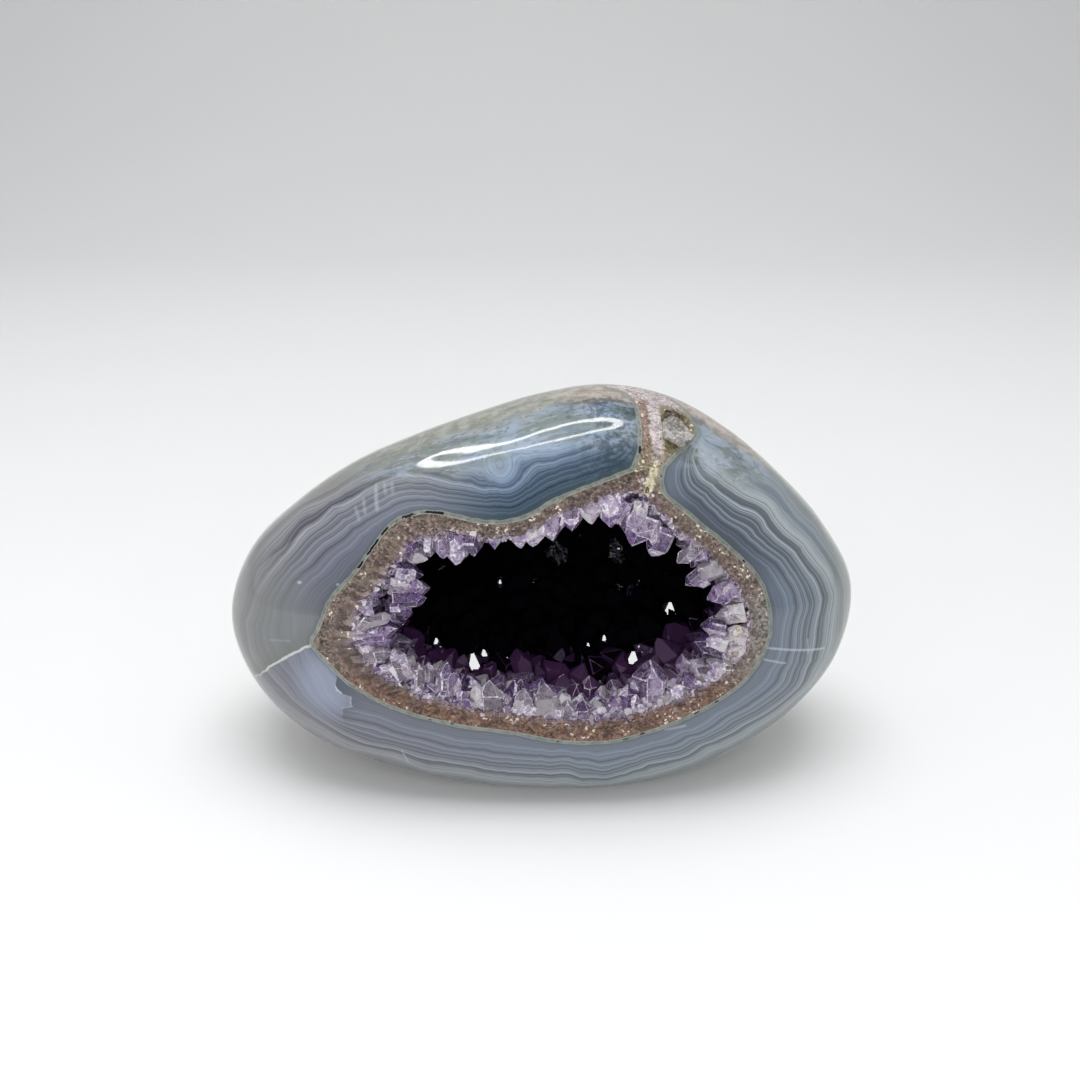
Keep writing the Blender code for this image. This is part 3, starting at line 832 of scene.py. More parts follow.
# Crystals that stand out round the brink, each as its foot, its tip, its radius and its look.
# A place is an x, a z and how far it lies behind the stone's face.
HAND_PLACED = [
    ((-9.1, 21.9, 1.6), (-9.6, 27.6, 3.0), 2.7, "clear"),
    ((-5.0, 21.3, 3.5), (-4.9, 26.4, 5.0), 2.3, "violet"),
    ((-3.0, 22.0, 1.5), (-2.9, 26.3, 2.5), 1.9, "clear"),
    ((1.0, 21.8, 1.8), (0.9, 27.1, 3.0), 2.6, "clear"),
    ((5.1, 20.6, 1.0), (5.1, 24.3, 1.8), 1.4, "clear"),
    ((8.0, 20.9, 1.5), (8.0, 23.7, 2.5), 1.9, "violet"),
    ((14.1, 20.3, 1.5), (14.1, 23.8, 2.5), 2.0, "pale"),
    ((16.8, 20.7, 2.0), (16.7, 25.8, 4.0), 1.9, "violet"),
    ((21.2, 20.5, 3.2), (21.1, 30.1, 5.0), 3.1, "pale"),
    ((25.3, 21.4, 2.0), (25.0, 26.6, 3.5), 1.2, "clear"),
    ((-17.6, 25.4, 2.2), (-17.4, 30.5, 4.0), 2.1, "pale"),
    ((-23.3, 25.9, 1.5), (-23.0, 30.9, 3.0), 1.4, "clear"),
    ((-21.3, 27.3, 3.0), (-21.2, 30.4, 4.0), 1.1, "clear"),
    ((-27.6, 45.7, 2.0), (-21.8, 44.7, 4.6), 1.6, "pale"),
    ((-27.2, 42.9, 2.4), (-21.3, 42.5, 5.0), 1.7, "violet"),
    ((-26.2, 44.3, 3.2), (-20.6, 43.8, 6.2), 1.5, "pale"),
    ((-26.8, 47.5, 2.5), (-21.8, 46.1, 6.0), 1.9, "violet"),
    ((-27.8, 40.5, 4.0), (-24.3, 38.1, 8.0), 1.9, "violet"),
    ((-35.4, 36.0, 1.2), (-26.7, 37.0, 3.5), 1.5, "pale"),
    ((-35.4, 34.7, 1.0), (-28.0, 35.1, 2.5), 1.2, "pale"),
    ((-34.1, 38.0, 1.0), (-27.7, 39.6, 2.8), 1.2, "clear"),
    ((-35.4, 33.6, 0.9), (-30.5, 33.6, 2.2), 1.0, "pale"),
    ((-32.8, 31.9, 1.2), (-27.6, 32.6, 2.8), 1.7, "clear"),
    ((-25.3, 28.6, 1.4), (-27.6, 33.3, 3.0), 1.6, "clear"),
    ((-18.5, 58.6, 1.0), (-19.0, 53.6, 2.5), 1.3, "clear"),
    ((-20.2, 55.5, 1.0), (-20.4, 50.5, 3.0), 1.2, "clear"),
    ((-15.2, 55.2, 2.0), (-15.5, 49.4, 3.5), 2.2, "violet"),
    ((-17.7, 55.0, 1.6), (-17.8, 50.4, 3.2), 1.5, "pale"),
    ((-12.5, 55.6, 1.8), (-12.1, 51.3, 3.0), 2.2, "violet"),
    ((-8.6, 56.6, 1.5), (-8.3, 52.7, 3.0), 1.8, "pale"),
    ((-3.6, 57.3, 1.4), (-3.5, 53.1, 3.0), 2.0, "pale"),
    ((-1.3, 58.1, 1.2), (-1.3, 53.5, 2.8), 2.2, "white"),
    ((2.0, 59.1, 1.4), (2.4, 54.5, 3.0), 2.3, "pale"),
    ((5.6, 60.6, 1.4), (5.8, 56.2, 3.0), 2.0, "pale"),
    ((9.1, 61.9, 1.4), (9.5, 57.3, 3.0), 2.5, "druse"),
    ((12.5, 62.4, 1.5), (13.0, 56.4, 3.5), 2.4, "pale"),
    ((15.9, 60.5, 3.0), (15.8, 54.4, 6.0), 2.2, "violet"),
    ((18.4, 60.9, 1.3), (17.9, 57.3, 2.5), 1.6, "white"),
    ((19.0, 58.2, 2.0), (16.9, 52.9, 4.0), 2.7, "pale"),
    ((22.7, 56.1, 2.0), (20.7, 50.8, 4.0), 2.2, "violet"),
    ((29.3, 52.8, 1.6), (25.4, 49.5, 3.2), 1.9, "clear"),
    ((33.4, 48.8, 1.4), (28.6, 46.6, 3.0), 1.8, "clear"),
    ((29.8, 47.2, 3.0), (27.4, 44.5, 5.0), 1.8, "violet"),
    ((36.1, 44.4, 1.6), (31.4, 42.0, 3.5), 2.2, "pale"),
    ((38.0, 39.8, 1.8), (33.1, 38.5, 4.0), 2.3, "white"),
    ((34.8, 36.5, 2.8), (30.6, 36.3, 5.0), 1.9, "violet"),
    ((34.6, 32.3, 2.6), (29.4, 33.2, 5.0), 2.5, "violet"),
    ((39.2, 35.4, 1.4), (33.9, 34.5, 3.0), 2.1, "white"),
    ((38.9, 32.8, 1.2), (34.2, 32.3, 2.6), 1.6, "white"),
    ((36.0, 28.7, 1.4), (31.6, 30.4, 3.0), 1.8, "clear"),
    ((33.0, 26.5, 1.6), (29.7, 28.9, 3.2), 1.7, "clear"),
    ((29.7, 24.5, 1.6), (27.4, 28.2, 3.4), 1.8, "violet"),
]


def face_cut(place, gloss=-0.35):
    """The ground face of the stone nearest to a place, as its direction and a point on it."""
    step = 0.5
    x, z = place[0], place[2]
    here, right, above = face_depth(np.array((x, x + step, x)), np.array((z, z, z + step)))
    normal = np.array(((right - here) / step, -1.0, (above - here) / step))
    normal /= np.linalg.norm(normal)
    return normal, np.array((x, here, z)) + gloss * normal


# The roughness of a clean crystal face
SMOOTH = 0.03
DEEP_VIOLET = (0.06, 0.025, 0.1, 1)


def crystal_material(name, root, tip, absorbed, density, clearness, haze, shine=0.5, rough=SMOOTH):
    """See-through quartz: paler at its root, coloured towards its tip, with haze inside, and on hazy looks
    painted shade on some faces and a painted white highlight on others.
    """
    paint = Nodes(name)
    facet = paint.attribute("facet")
    tinted = paint.fade(paint.attribute("tint"), 0.0, 1.0, 0.35, 1.0)
    body = paint.mix(paint.fade(paint.attribute("tip"), 0.1, 0.9) * tinted, root, tip)
    if haze:
        place = paint.place()
        cloud = paint.fade(paint.noise(place, 0.9, 5.0, 0.7), 0.35, 0.6, 1 - haze, 1.0)
        body = paint.mix(cloud, DEEP_VIOLET, body)
        # Painted shade: faces with a low facet value darken towards deep violet
        body = paint.mix(paint.fade(facet, 0.0, 0.6, 0.85 * haze, 0.0), body, DEEP_VIOLET)
        # Painted highlight: faces with a high facet value turn near white
        if haze < WHITE_FACETS_BELOW:
            body = paint.mix(paint.fade(facet, 0.62, 0.8), body, (0.98, 0.96, 0.99, 1))
        veil = abs(paint.noise(place, 0.75, 4.0, 0.65) - 0.47)
        body = paint.mix(paint.fade(veil, 0.0, 0.022, 0.85, 0.0), body, (0.98, 0.95, 0.99, 1))
        paint.bump(paint.noise(place, 2.2, 3.0, 0.6), 0.12 * haze)
    if rough > SMOOTH:
        rough = paint.fade(facet, 0.8, 0.9, rough, SMOOTH)
    paint.set(Base_Color=body, Roughness=rough, IOR=QUARTZ_IOR, Transmission_Weight=clearness,
              Specular_IOR_Level=shine)
    depth = paint.add("ShaderNodeVolumeAbsorption", {"Color": absorbed, "Density": density})
    paint.feed(paint.output.inputs["Volume"], depth.outputs[0])
    return paint.material


QUARTZ_IOR = 1.544
# Looks with less haze than this have some facets painted white as a highlight
WHITE_FACETS_BELOW = 0.6
# Each look's colour at the root and at the tip, what its depth takes its colour from, how strongly
# per metre, how clear it is, how much haze it holds, which also sets the painted shade and highlight on its
# faces, and, where that differs, its shine and roughness
CRYSTAL_LOOKS = {
    "white": ((0.86, 0.8, 0.8, 1), (0.84, 0.76, 0.86, 1), (0.92, 0.88, 0.95, 1), 20.0, 0.3, 0.55),
    "clear": ((0.6, 0.5, 0.56, 1), (0.74, 0.64, 0.76, 1), (0.82, 0.72, 0.9, 1), 50.0, 0.65, 0.58),
    "druse": ((0.72, 0.6, 0.7, 1), (0.8, 0.68, 0.86, 1), (0.85, 0.78, 0.93, 1), 40.0, 0.35, 0.59),
    "pale": ((0.68, 0.54, 0.78, 1), (0.5, 0.29, 0.74, 1), (0.68, 0.48, 0.87, 1), 100.0, 0.5, 0.8),
    "violet": ((0.5, 0.33, 0.65, 1), (0.27, 0.1, 0.5, 1), (0.45, 0.22, 0.7, 1), 240.0, 0.65, 0.8),
    "bed": ((0.14, 0.05, 0.16, 1), (0.07, 0.02, 0.1, 1), (0.45, 0.2, 0.6, 1), 500.0, 0.5, 0.0, 0.0, 0.3),
    # Near black: partly the deep violet of amethyst, partly painted shade deep in the hollow
    "dark": ((0.003, 0.0015, 0.004, 1), (0.0015, 0.0005, 0.002, 1), (0.3, 0.1, 0.5, 1), 3000.0, 0.1,
             0.0, 0.0, 1.0),
    "glint": ((0.05, 0.02, 0.08, 1), (0.02, 0.01, 0.03, 1), (0.3, 0.1, 0.5, 1), 1000.0, 0.1,
              0.0, 0.5, 1.0),
    "golden": ((0.3, 0.25, 0.13, 1), (0.95, 0.92, 0.8, 1), (0.8, 0.72, 0.5, 1), 80.0, 0.3, 0.5),
}


def frost_material():
    """Broken edges and small grains: near white, partly a painted highlight for the crystals' bright edges,
    creamy at the hollow's ends, and darkened by painted shade inside it.
    """
    paint = Nodes("quartz_frost_highlight")
    place = paint.place()
    across, _, up = paint.axes(place)
    cell = paint.cells(place, FROST_GRAIN)
    # Near white: partly frosted quartz, partly a painted highlight for the crystals' bright edges
    lilac = paint.mix(paint.red(cell), colour(168, 150, 178), colour(255, 253, 255))
    cream = paint.mix(paint.red(cell), colour(158, 144, 124), colour(248, 240, 222))
    end = paint.math("MAXIMUM", paint.fade(across, 34.0, 37.0), paint.drop(across, -36.0, -32.0))
    level = paint.fade(up, 24.0, 28.0) * paint.drop(up, 38.0, 43.0)
    body = paint.mix(end * level, lilac, cream)
    worn = paint.fade(paint.noise(place, 1.3, 3.0, 0.6), 0.46, 0.56, 0.0, 0.65)
    body = paint.mix(worn, body, colour(142, 120, 166))
    # Painted shade: the frost darkens to dim violet with its crystal's gloom, deeper in the hollow
    body = paint.mix(paint.attribute("gloom"), body, colour(66, 42, 80))
    paint.set(Base_Color=body, Roughness=0.12, IOR=QUARTZ_IOR, Transmission_Weight=0.1,
              Normal=paint.tilted(cell, 0.35))
    return paint.material


def grain_material():
    """The small grains in the ground face: brown, greyish lilac or white, each its own."""
    paint = Nodes("quartz_grains")
    body = paint.ramp(paint.attribute("tint"), [
        (0.0, colour(92, 74, 66)), (0.45, colour(124, 104, 96)), (0.7, colour(138, 120, 120)),
        (0.92, colour(168, 152, 154)), (1.0, colour(244, 236, 238))])
    cell = paint.cells(paint.place(), FROST_GRAIN)
    paint.set(Base_Color=body, Roughness=0.1, IOR=QUARTZ_IOR, Transmission_Weight=0.2,
              Normal=paint.tilted(cell, 0.4))
    return paint.material


FROST_GRAIN = 0.35


class Output:
    """A node's output, which can be added, multiplied and compared as if it were a number."""

    def __init__(self, paint, socket):
        self.paint = paint
        self.socket = socket

    def __add__(self, other):
        return self.paint.math("ADD", self, other)

    def __sub__(self, other):
        return self.paint.math("SUBTRACT", self, other)

    def __rsub__(self, other):
        return self.paint.math("SUBTRACT", other, self)

    def __mul__(self, other):
        return self.paint.math("MULTIPLY", self, other)

    def __truediv__(self, other):
        return self.paint.math("DIVIDE", self, other)

    def __rtruediv__(self, other):
        return self.paint.math("DIVIDE", other, self)

    def __lt__(self, other):
        return self.paint.math("LESS_THAN", self, other)

    def __gt__(self, other):
        return self.paint.math("GREATER_THAN", self, other)

    def __abs__(self):
        return self.paint.math("ABSOLUTE", self)


class Nodes:
    """A material's node tree, with short calls that add a node and give back its output."""

    def __init__(self, name):
        self.material = bpy.data.materials.new(name)
        self.material.use_nodes = True
        self.tree = self.material.node_tree
        self.shader = self.tree.nodes["Principled BSDF"]
        self.output = self.tree.nodes["Material Output"]

    def add(self, kind, inputs=(), **settings):
        """A new node, with values or other nodes' outputs for its inputs."""
        node = self.tree.nodes.new(kind)
        for name, value in settings.items():
            setattr(node, name, value)
        for name, value in dict(inputs).items():
            self.feed(node.inputs[name], value)
        return node

    def feed(self, socket, value):
        if isinstance(value, Output):
            value = value.socket
        if isinstance(value, bpy.types.NodeSocket):
            self.tree.links.new(value, socket)
        else:
            socket.default_value = value

    def set(self, **values):
        """Gives the shader's own sockets their values or links."""
        for name, value in values.items():
            self.feed(self.shader.inputs[name.replace("_", " ")], value)

    def attribute(self, name):
        return Output(self, self.add("ShaderNodeAttribute", attribute_name=name).outputs["Fac"])

    def place(self):
        """The point's place in the part's own frame, in millimetres."""
        where = self.add("ShaderNodeTexCoord").outputs["Object"]
        return self.vector("SCALE", where, scale=1 / MM)

    def vector(self, operation, *values, scale=None):
        node = self.add("ShaderNodeVectorMath", operation=operation)
        for socket, value in zip(node.inputs, values):
            self.feed(socket, value)
        if scale is not None:
            self.feed(node.inputs["Scale"], scale)
        return Output(self, node.outputs["Value" if operation in ("DOT_PRODUCT", "LENGTH") else 0])

    def axes(self, where):
        """How far across, back and up a place lies."""
        return [Output(self, part) for part in self.add("ShaderNodeSeparateXYZ", {0: where}).outputs]

    def red(self, tone):
        """One part of a colour, as a number that is its own in each cell."""
        return Output(self, self.add("ShaderNodeSeparateColor", {0: tone}).outputs[0])

    def join(self, x=0.0, y=0.0, z=0.0):
        return Output(self, self.add("ShaderNodeCombineXYZ", {0: x, 1: y, 2: z}).outputs[0])

    def math(self, operation, *values, clamp=False):
        node = self.add("ShaderNodeMath", operation=operation, use_clamp=clamp)
        for socket, value in zip(node.inputs, values):
            self.feed(socket, value)
        return Output(self, node.outputs[0])

    def clamped(self, value):
        """The value, held between 0 and 1."""
        return self.math("ADD", value, 0.0, clamp=True)

    def fade(self, value, low, high, start=0.0, end=1.0):
        """Goes smoothly from start to end as a value goes from low to high."""
        node = self.add("ShaderNodeMapRange", interpolation_type="SMOOTHSTEP")
        for socket, number in zip(node.inputs, (value, low, high, start, end)):
            self.feed(socket, number)
        return Output(self, node.outputs[0])

    def drop(self, value, low, high):
        """Goes smoothly from 1 to 0 as a value goes from low to high."""
        return self.fade(value, low, high, 1.0, 0.0)

    def mix(self, share, low, high, blend="MIX"):
        node = self.add("ShaderNodeMix", data_type="RGBA", blend_type=blend)
        for index, value in ((0, share), (6, low), (7, high)):
            self.feed(node.inputs[index], value)
        return Output(self, node.outputs[2])

    def ramp(self, value, stops):
        """Colours along a value from 0 to 1, each given with its place."""
        node = self.add("ShaderNodeValToRGB", {0: value})
        elements = node.color_ramp.elements
        while len(elements) < len(stops):
            elements.new(0.5)
        for element, (spot, tone) in zip(elements, stops):
            element.position = spot
            element.color = tone
        return Output(self, node.outputs[0])

    def noise(self, where, scale, detail=2.0, roughness=0.5, dimensions="3D"):
        name = "W" if dimensions == "1D" else "Vector"
        node = self.add("ShaderNodeTexNoise", {name: where, "Scale": scale, "Detail": detail,
                                               "Roughness": roughness}, noise_dimensions=dimensions)
        return Output(self, node.outputs[0])

    def cells(self, where, size):
        """Irregular cells about so wide, each with its own random colour."""
        node = self.add("ShaderNodeTexVoronoi", {"Vector": where, "Scale": 1 / size})
        return Output(self, node.outputs["Color"])

    def tilted(self, cell, amount):
        """The surface's direction, tilted a little another way in each cell."""
        aside = self.vector("SUBTRACT", cell, self.join(0.5, 0.5, 0.5))
        normal = self.add("ShaderNodeNewGeometry").outputs["Normal"]
        tilt = self.vector("SCALE", aside, scale=amount)
        return self.vector("NORMALIZE", self.vector("ADD", normal, tilt))

    def bump(self, height, distance):
        node = self.add("ShaderNodeBump", {"Height": height, "Distance": distance * MM, "Strength": 1.0})
        self.set(Normal=node.outputs[0])


def grey(value):
    return (value, value, value, 1.0)


def colour(red, green, blue):
    """A colour given as it shows on a screen, from 0 to 255, as Blender's linear values."""
    def linear(value):
        value /= 255
        return value / 12.92 if value <= 0.04045 else ((value + 0.055) / 1.055) ** 2.4
    return (linear(red), linear(green), linear(blue), 1.0)


CAMERA_PLACE = np.array((0.0, -0.198, 0.141))
CAMERA_PITCH = math.radians(26)


def add_camera():
    """The photo's view: from the front and a little above, with a normal lens."""
    camera = bpy.data.cameras.new("camera")
    camera.sensor_width = 36.0
    camera.lens = 36.0
    camera.dof.use_dof = False
    holder = bpy.data.objects.new("camera", camera)
    holder.location = CAMERA_PLACE
    holder.rotation_euler = (math.pi / 2 - CAMERA_PITCH, 0.0, 0.0)
    bpy.context.scene.collection.objects.link(holder)
    bpy.context.scene.camera = holder


def add_area_light(name, place, target, size, power):
    """A flat rectangular lamp that shines towards a target."""
    light = bpy.data.lights.new(name, "AREA")
    light.shape = "RECTANGLE"
    light.size, light.size_y = size
    light.energy = power
    holder = bpy.data.objects.new(name, light)
    holder.location = place
    holder.rotation_euler = (Vector(target) - Vector(place)).to_track_quat("-Z", "Y").to_euler()
    bpy.context.scene.collection.objects.link(holder)
    return holder


def add_lights():
    """A room that is light behind the stone and dim in front of it, and the lamps."""
    world = bpy.data.worlds.new("studio")
    world.use_nodes = True
    tree = world.node_tree
    background = tree.nodes["Background"]
    where = tree.nodes.new("ShaderNodeTexCoord")
    split = tree.nodes.new("ShaderNodeSeparateXYZ")
    ramp = tree.nodes.new("ShaderNodeMapRange")
    ramp.interpolation_type = "SMOOTHSTEP"
    ramp.inputs["From Min"].default_value = -0.7
    ramp.inputs["From Max"].default_value = 0.5
    ramp.inputs["To Min"].default_value = WORLD_FRONT
    ramp.inputs["To Max"].default_value = WORLD_BACK
    tree.links.new(where.outputs["Generated"], split.inputs[0])
    tree.links.new(split.outputs["Y"], ramp.inputs["Value"])
    tree.links.new(ramp.outputs[0], background.inputs["Strength"])
    background.inputs["Color"].default_value = (0.96, 0.98, 1.0, 1.0)
    bpy.context.scene.world = world
    overhead = add_area_light("overhead", (0.0, 0.05, 0.9), (0.0, 0.0, 0.0), (0.7, 0.5),
                              OVERHEAD_POWER)
    overhead.visible_glossy = False
    side = add_area_light("side", (-0.75, -0.4, 0.2), (0.0, 0.0, 0.04), (0.3, 0.3), SIDE_POWER)
    side.visible_glossy = False
    for index in range(len(FRONT_LAMPS)):
        add_area_light(f"front_lamp_{index}", front_lamp_place(index), LAMPS_AIM,
                       (FRONT_LAMP_SIZE, FRONT_LAMP_SIZE), FRONT_LAMP_POWER)
    for index, (x, y, width) in enumerate(LAMP_LOOP):
        next_x, next_y, next_width = LAMP_LOOP[(index + 1) % len(LAMP_LOOP)]
        run = Vector((next_x - x, next_y - y))
        middle = ((x + next_x) / 2 * MM, (y + next_y) / 2 * MM)
        size = (1.1 * run.length * MM, (width + next_width) / 2 * MM)
        strip = add_area_light(f"lamp_{index}", (*middle, LAMP_HEIGHT), (*middle, 0.0), size,
                               LAMP_STRENGTH * size[0] * size[1])
        strip.rotation_euler = (0.0, 0.0, math.atan2(run.y, run.x))
        strip.visible_diffuse = False


def front_lamp_place(index):
    """Where one of the small lamps behind the camera stands."""
    turn, height = (math.radians(angle) for angle in FRONT_LAMPS[index])
    way = np.array((math.sin(turn) * math.cos(height), -math.cos(turn) * math.cos(height),
                    math.sin(height)))
    return LAMPS_AIM + FRONT_LAMP_DISTANCE * way


LAMPS_AIM = np.array((0.0, 0.0, 0.04))
WORLD_FRONT = 0.12
WORLD_BACK = 1.2
OVERHEAD_POWER = 4.2
SIDE_POWER = 0.8
# Small lamps behind the camera, as turn and height in degrees: they glint on crystals alone,
# because the polished agate nowhere faces half way between them and the camera
FRONT_LAMPS = [
    (-38, 27), (-14, 14), (20, 38), (36, 20), (8, 3), (-30, 5), (-24, 32), (2, 26), (14, 16),
    (44, 32), (28, -6), (-8, -12), (-42, 10), (-4, 34),
]
FRONT_LAMP_DISTANCE = 0.7
FRONT_LAMP_SIZE = 0.05
FRONT_LAMP_POWER = 0.14
LAMP_HEIGHT = 0.6
# Watts for each square metre of the lamp's outline
LAMP_STRENGTH = 36.0
# The overhead lamp's thin outline, as x, y and width in millimetres
LAMP_LOOP = [
    (-392, 455, 36), (-362, 415, 34), (-336, 365, 30), (-313, 305, 28), (-293, 248, 28),
    (-260, 213, 28), (-208, 200, 28), (-158, 221, 36), (-120, 235, 30), (-75, 235, 33), (-10, 223, 48),
    (70, 216, 60), (108, 190, 46), (104, 140, 36), (80, 107, 24), (20, 88, 24), (-60, 76, 24),
    (-130, 75, 20), (-200, 80, 9), (-255, 108, 7), (-300, 148, 20), (-340, 197, 28), (-370, 260, 32),
    (-392, 320, 32), (-408, 380, 32), (-413, 425, 34),
]


def add_floor():
    """A pale floor that sweeps up behind into a plain wall."""
    profile = [(-FLOOR_REACH, 0.0), (SWEEP_START, 0.0)]
    for step in range(1, SWEEP_STEPS + 1):
        angle = 0.5 * math.pi * step / SWEEP_STEPS
        profile.append((SWEEP_START + SWEEP_RADIUS * math.sin(angle),
                        SWEEP_RADIUS * (1 - math.cos(angle))))
    profile.append((SWEEP_START + SWEEP_RADIUS, WALL_HEIGHT))
    points = [(side * FLOOR_REACH, y, z) for y, z in profile for side in (-1, 1)]
    faces = [(2 * k, 2 * k + 1, 2 * k + 3, 2 * k + 2) for k in range(len(profile) - 1)]
    floor = new_piece("floor", points, faces)
    floor.data.shade_smooth()
    paint = Nodes("floor_white")
    paint.set(Base_Color=grey(0.9), Roughness=0.5)
    floor.data.materials.append(paint.material)


FLOOR_REACH = 2500.0
SWEEP_START = 500.0
SWEEP_RADIUS = 400.0
SWEEP_STEPS = 24
WALL_HEIGHT = 1600.0


# Along the bands, how pale each is: 0 is the darkest and 1 the palest
BAND_PALENESS = [
    (0.0, 0.18), (0.14, 0.34), (0.2, 0.4), (0.24, 0.62), (0.28, 0.46), (0.32, 0.48),
    (0.35, 0.18), (0.38, 0.42), (0.415, 0.6), (0.45, 0.36), (0.475, 0.3), (0.5, 0.55), (0.53, 0.1),
    (0.553, 0.55), (0.588, 0.25), (0.61, 0.45), (0.66, 0.9), (0.685, 0.5), (0.7, 0.22),
    (0.745, 0.25), (0.765, 0.6), (0.8, 0.9), (0.83, 0.6), (0.87, 0.95), (0.92, 0.75), (0.96, 0.4),
    (1.0, 0.3), (1.04, 0.5), (1.1, 0.7), (1.2, 0.4), (1.3, 0.65), (1.45, 0.35),
]
BAND_SPAN = 1.6
# The darkest and the palest stone along the bands, each colour with the band it lies at: grey at
# the sides and below, blue between the hollow and the crown
GREY_STONE = (
    [(0.0, (92, 96, 110)), (0.62, (84, 86, 96)), (1.0, (98, 100, 102)), (1.25, (118, 119, 116)),
     (1.6, (120, 118, 112))],
    [(0.0, (138, 144, 158)), (0.25, (150, 158, 175)), (0.7, (162, 167, 174)), (1.0, (162, 165, 166)),
     (1.25, (162, 163, 158)), (1.6, (158, 156, 148))],
)
BLUE_STONE = (
    [(0.0, (30, 48, 62)), (0.5, (38, 56, 76)), (0.7, (72, 90, 116)), (1.0, (108, 120, 134)),
     (1.25, (124, 130, 132))],
    [(0.0, (84, 102, 112)), (0.5, (104, 122, 140)), (0.66, (128, 145, 166)), (0.82, (142, 162, 186)),
     (1.0, (156, 172, 190)), (1.25, (170, 178, 180))],
)


def band_ramp(paint, band, stops):
    """Colours along the bands, each given with the band it lies at."""
    return paint.ramp(band / BAND_SPAN, [(spot / BAND_SPAN, tone) for spot, tone in stops])


def banded_stone(paint, band, paleness, stone):
    """The stone's colour by its band and by how pale it is there."""
    dark, pale = (band_ramp(paint, band, [(spot, colour(*tone)) for spot, tone in stops])
                  for stops in stone)
    return paint.mix(paleness, dark, pale)


def wavy_bands(paint, place, across, up):
    """The band at a place, with small waves and with kinks that run out from the hollow."""
    wave = paint.noise(place, 0.28, 3.0) - 0.5
    kink = paint.noise(round_hollow(paint, across, up, KINK_REACH), 0.11, 1.5) - 0.5
    return paint.attribute("band") + wave * 0.03 + abs(kink) * 0.22


KINK_REACH = 45.0


def round_hollow(paint, across, up, reach):
    """The place as far out from the hollow's middle as is given, in the same direction."""
    way = paint.join(across - float(HOLLOW_MIDDLE[0]), up - float(HOLLOW_MIDDLE[1]))
    return paint.vector("SCALE", way, scale=reach / paint.vector("LENGTH", way))


def banded_paleness(paint, band):
    """How pale the stone is along its bands, down to hair-fine lines."""
    paleness = band_ramp(paint, band, [(spot, grey(value)) for spot, value in BAND_PALENESS])
    hairs = paint.noise(band, 16.0, 3.0, 0.75, "1D") - 0.5
    paleness = paint.clamped(paleness + hairs * 0.9)
    lines = abs(paint.noise(band, 34.0, 2.0, 0.6, "1D") - 0.5)
    return paint.clamped(paleness + paint.fade(lines, 0.0, 0.06, -0.3, 0.04))


def agate_material():
    """Banded agate, polished in front, with the rough skin of the find behind."""
    paint = Nodes("agate_banded")
    place = paint.place()
    across, back, up = paint.axes(place)
    front = paint.drop(back, -6.0, -2.0)
    above_crack = crack_height(paint, place, across, up)
    by_crack = front * paint.drop(across, -44.0, -38.0)
    band = wavy_bands(paint, place, across, up) + by_crack * (above_crack < 0.0) * CRACK_SHIFT
    paleness = banded_paleness(paint, band)
    quiet = paint.drop(across, -48.0, -34.0) * paint.drop(up, 38.0, 50.0) * front * 0.5
    paleness = paleness + (0.55 - paleness) * quiet
    strong = paint.fade(across, 22.0, 30.0) * paint.fade(up, 42.0, 54.0)
    level = paint.fade(strong, 0.0, 1.0, 0.5, 0.42)
    paleness = paint.clamped((paleness - 0.5) * (strong * 0.9 + 1.0) + level)
    stone = banded_stone(paint, band, paleness, GREY_STONE)
    cooler = paint.mix(1.0, stone, (0.97, 1.05, 1.05, 1), "MULTIPLY")
    warmer = paint.mix(1.0, stone, (0.86, 0.82, 0.83, 1), "MULTIPLY")
    stone = paint.mix(paint.fade(across, -50.0, 20.0), warmer, cooler)
    stone = paint.mix(quiet * (above_crack > 0.0), stone, colour(126, 129, 122))
    stone = paint.mix(strong * paint.drop(band, 0.3, 0.5) * 0.55, stone, colour(68, 74, 84))
    blueness = paint.fade(across, -24.0, -4.0) * paint.drop(across, 19.0, 21.0) * paint.fade(up, 50.0, 58.0)
    stone = paint.mix(blueness, stone, banded_stone(paint, band, paleness, BLUE_STONE))
    stone = add_lilac_zone(paint, stone, band, across, up)
    stone = add_crack(paint, stone, place, above_crack, by_crack, front)
    stone = add_marks(paint, stone, place, front)
    stone = add_clouds(paint, stone, place)
    stone = add_crown_skin(paint, stone, place)
    stone = add_rim_line(paint, stone, place)
    rough = paint.attribute("band") + (paint.noise(place, 0.1, 4.0) - 0.5) * 0.7
    rind = paint.fade(rough, RIND_START, RIND_START + 0.2)
    stone = paint.mix(rind, stone, rind_colour(paint, place))
    paint.set(Base_Color=stone, Roughness=paint.fade(rind, 0.0, 1.0, 0.06, 0.55), IOR=1.54)
    pits = paint.noise(place, 0.5, 4.0, 0.6) * 2.0 + paint.noise(place, 2.0, 4.0, 0.7)
    paint.bump(pits * rind, 0.45)
    return paint.material


# How far the bands are shifted below the crack
CRACK_SHIFT = 0.045


def add_clouds(paint, stone, place):
    """Soft greenish and bluish clouds below the crown, and mossy ones beside the vein."""
    across, back, up = paint.axes(place)
    drawn = paint.join(across * 0.35, back, up)
    high = paint.fade(back, -15.0, -9.0) * paint.fade(up, 58.0, 64.0)
    for scale, least, most, strength, tone in CLOUDS:
        cloud = paint.fade(paint.noise(drawn, scale, 4.0, 0.6), least, most, 0.0, strength)
        stone = paint.mix(cloud * high, stone, colour(*tone))
    beside = paint.fade(across, 2.0, 14.0) * paint.drop(across, 19.5, 21.0) * paint.fade(up, 56.0, 62.0)
    moss = paint.noise(place, 0.45, 5.0, 0.7)
    stone = paint.mix(paint.fade(moss, 0.44, 0.56, 0.0, 0.75) * beside, stone, colour(46, 64, 76))
    return paint.mix(paint.fade(moss, 0.42, 0.34, 0.0, 0.5) * beside, stone, colour(104, 132, 138))


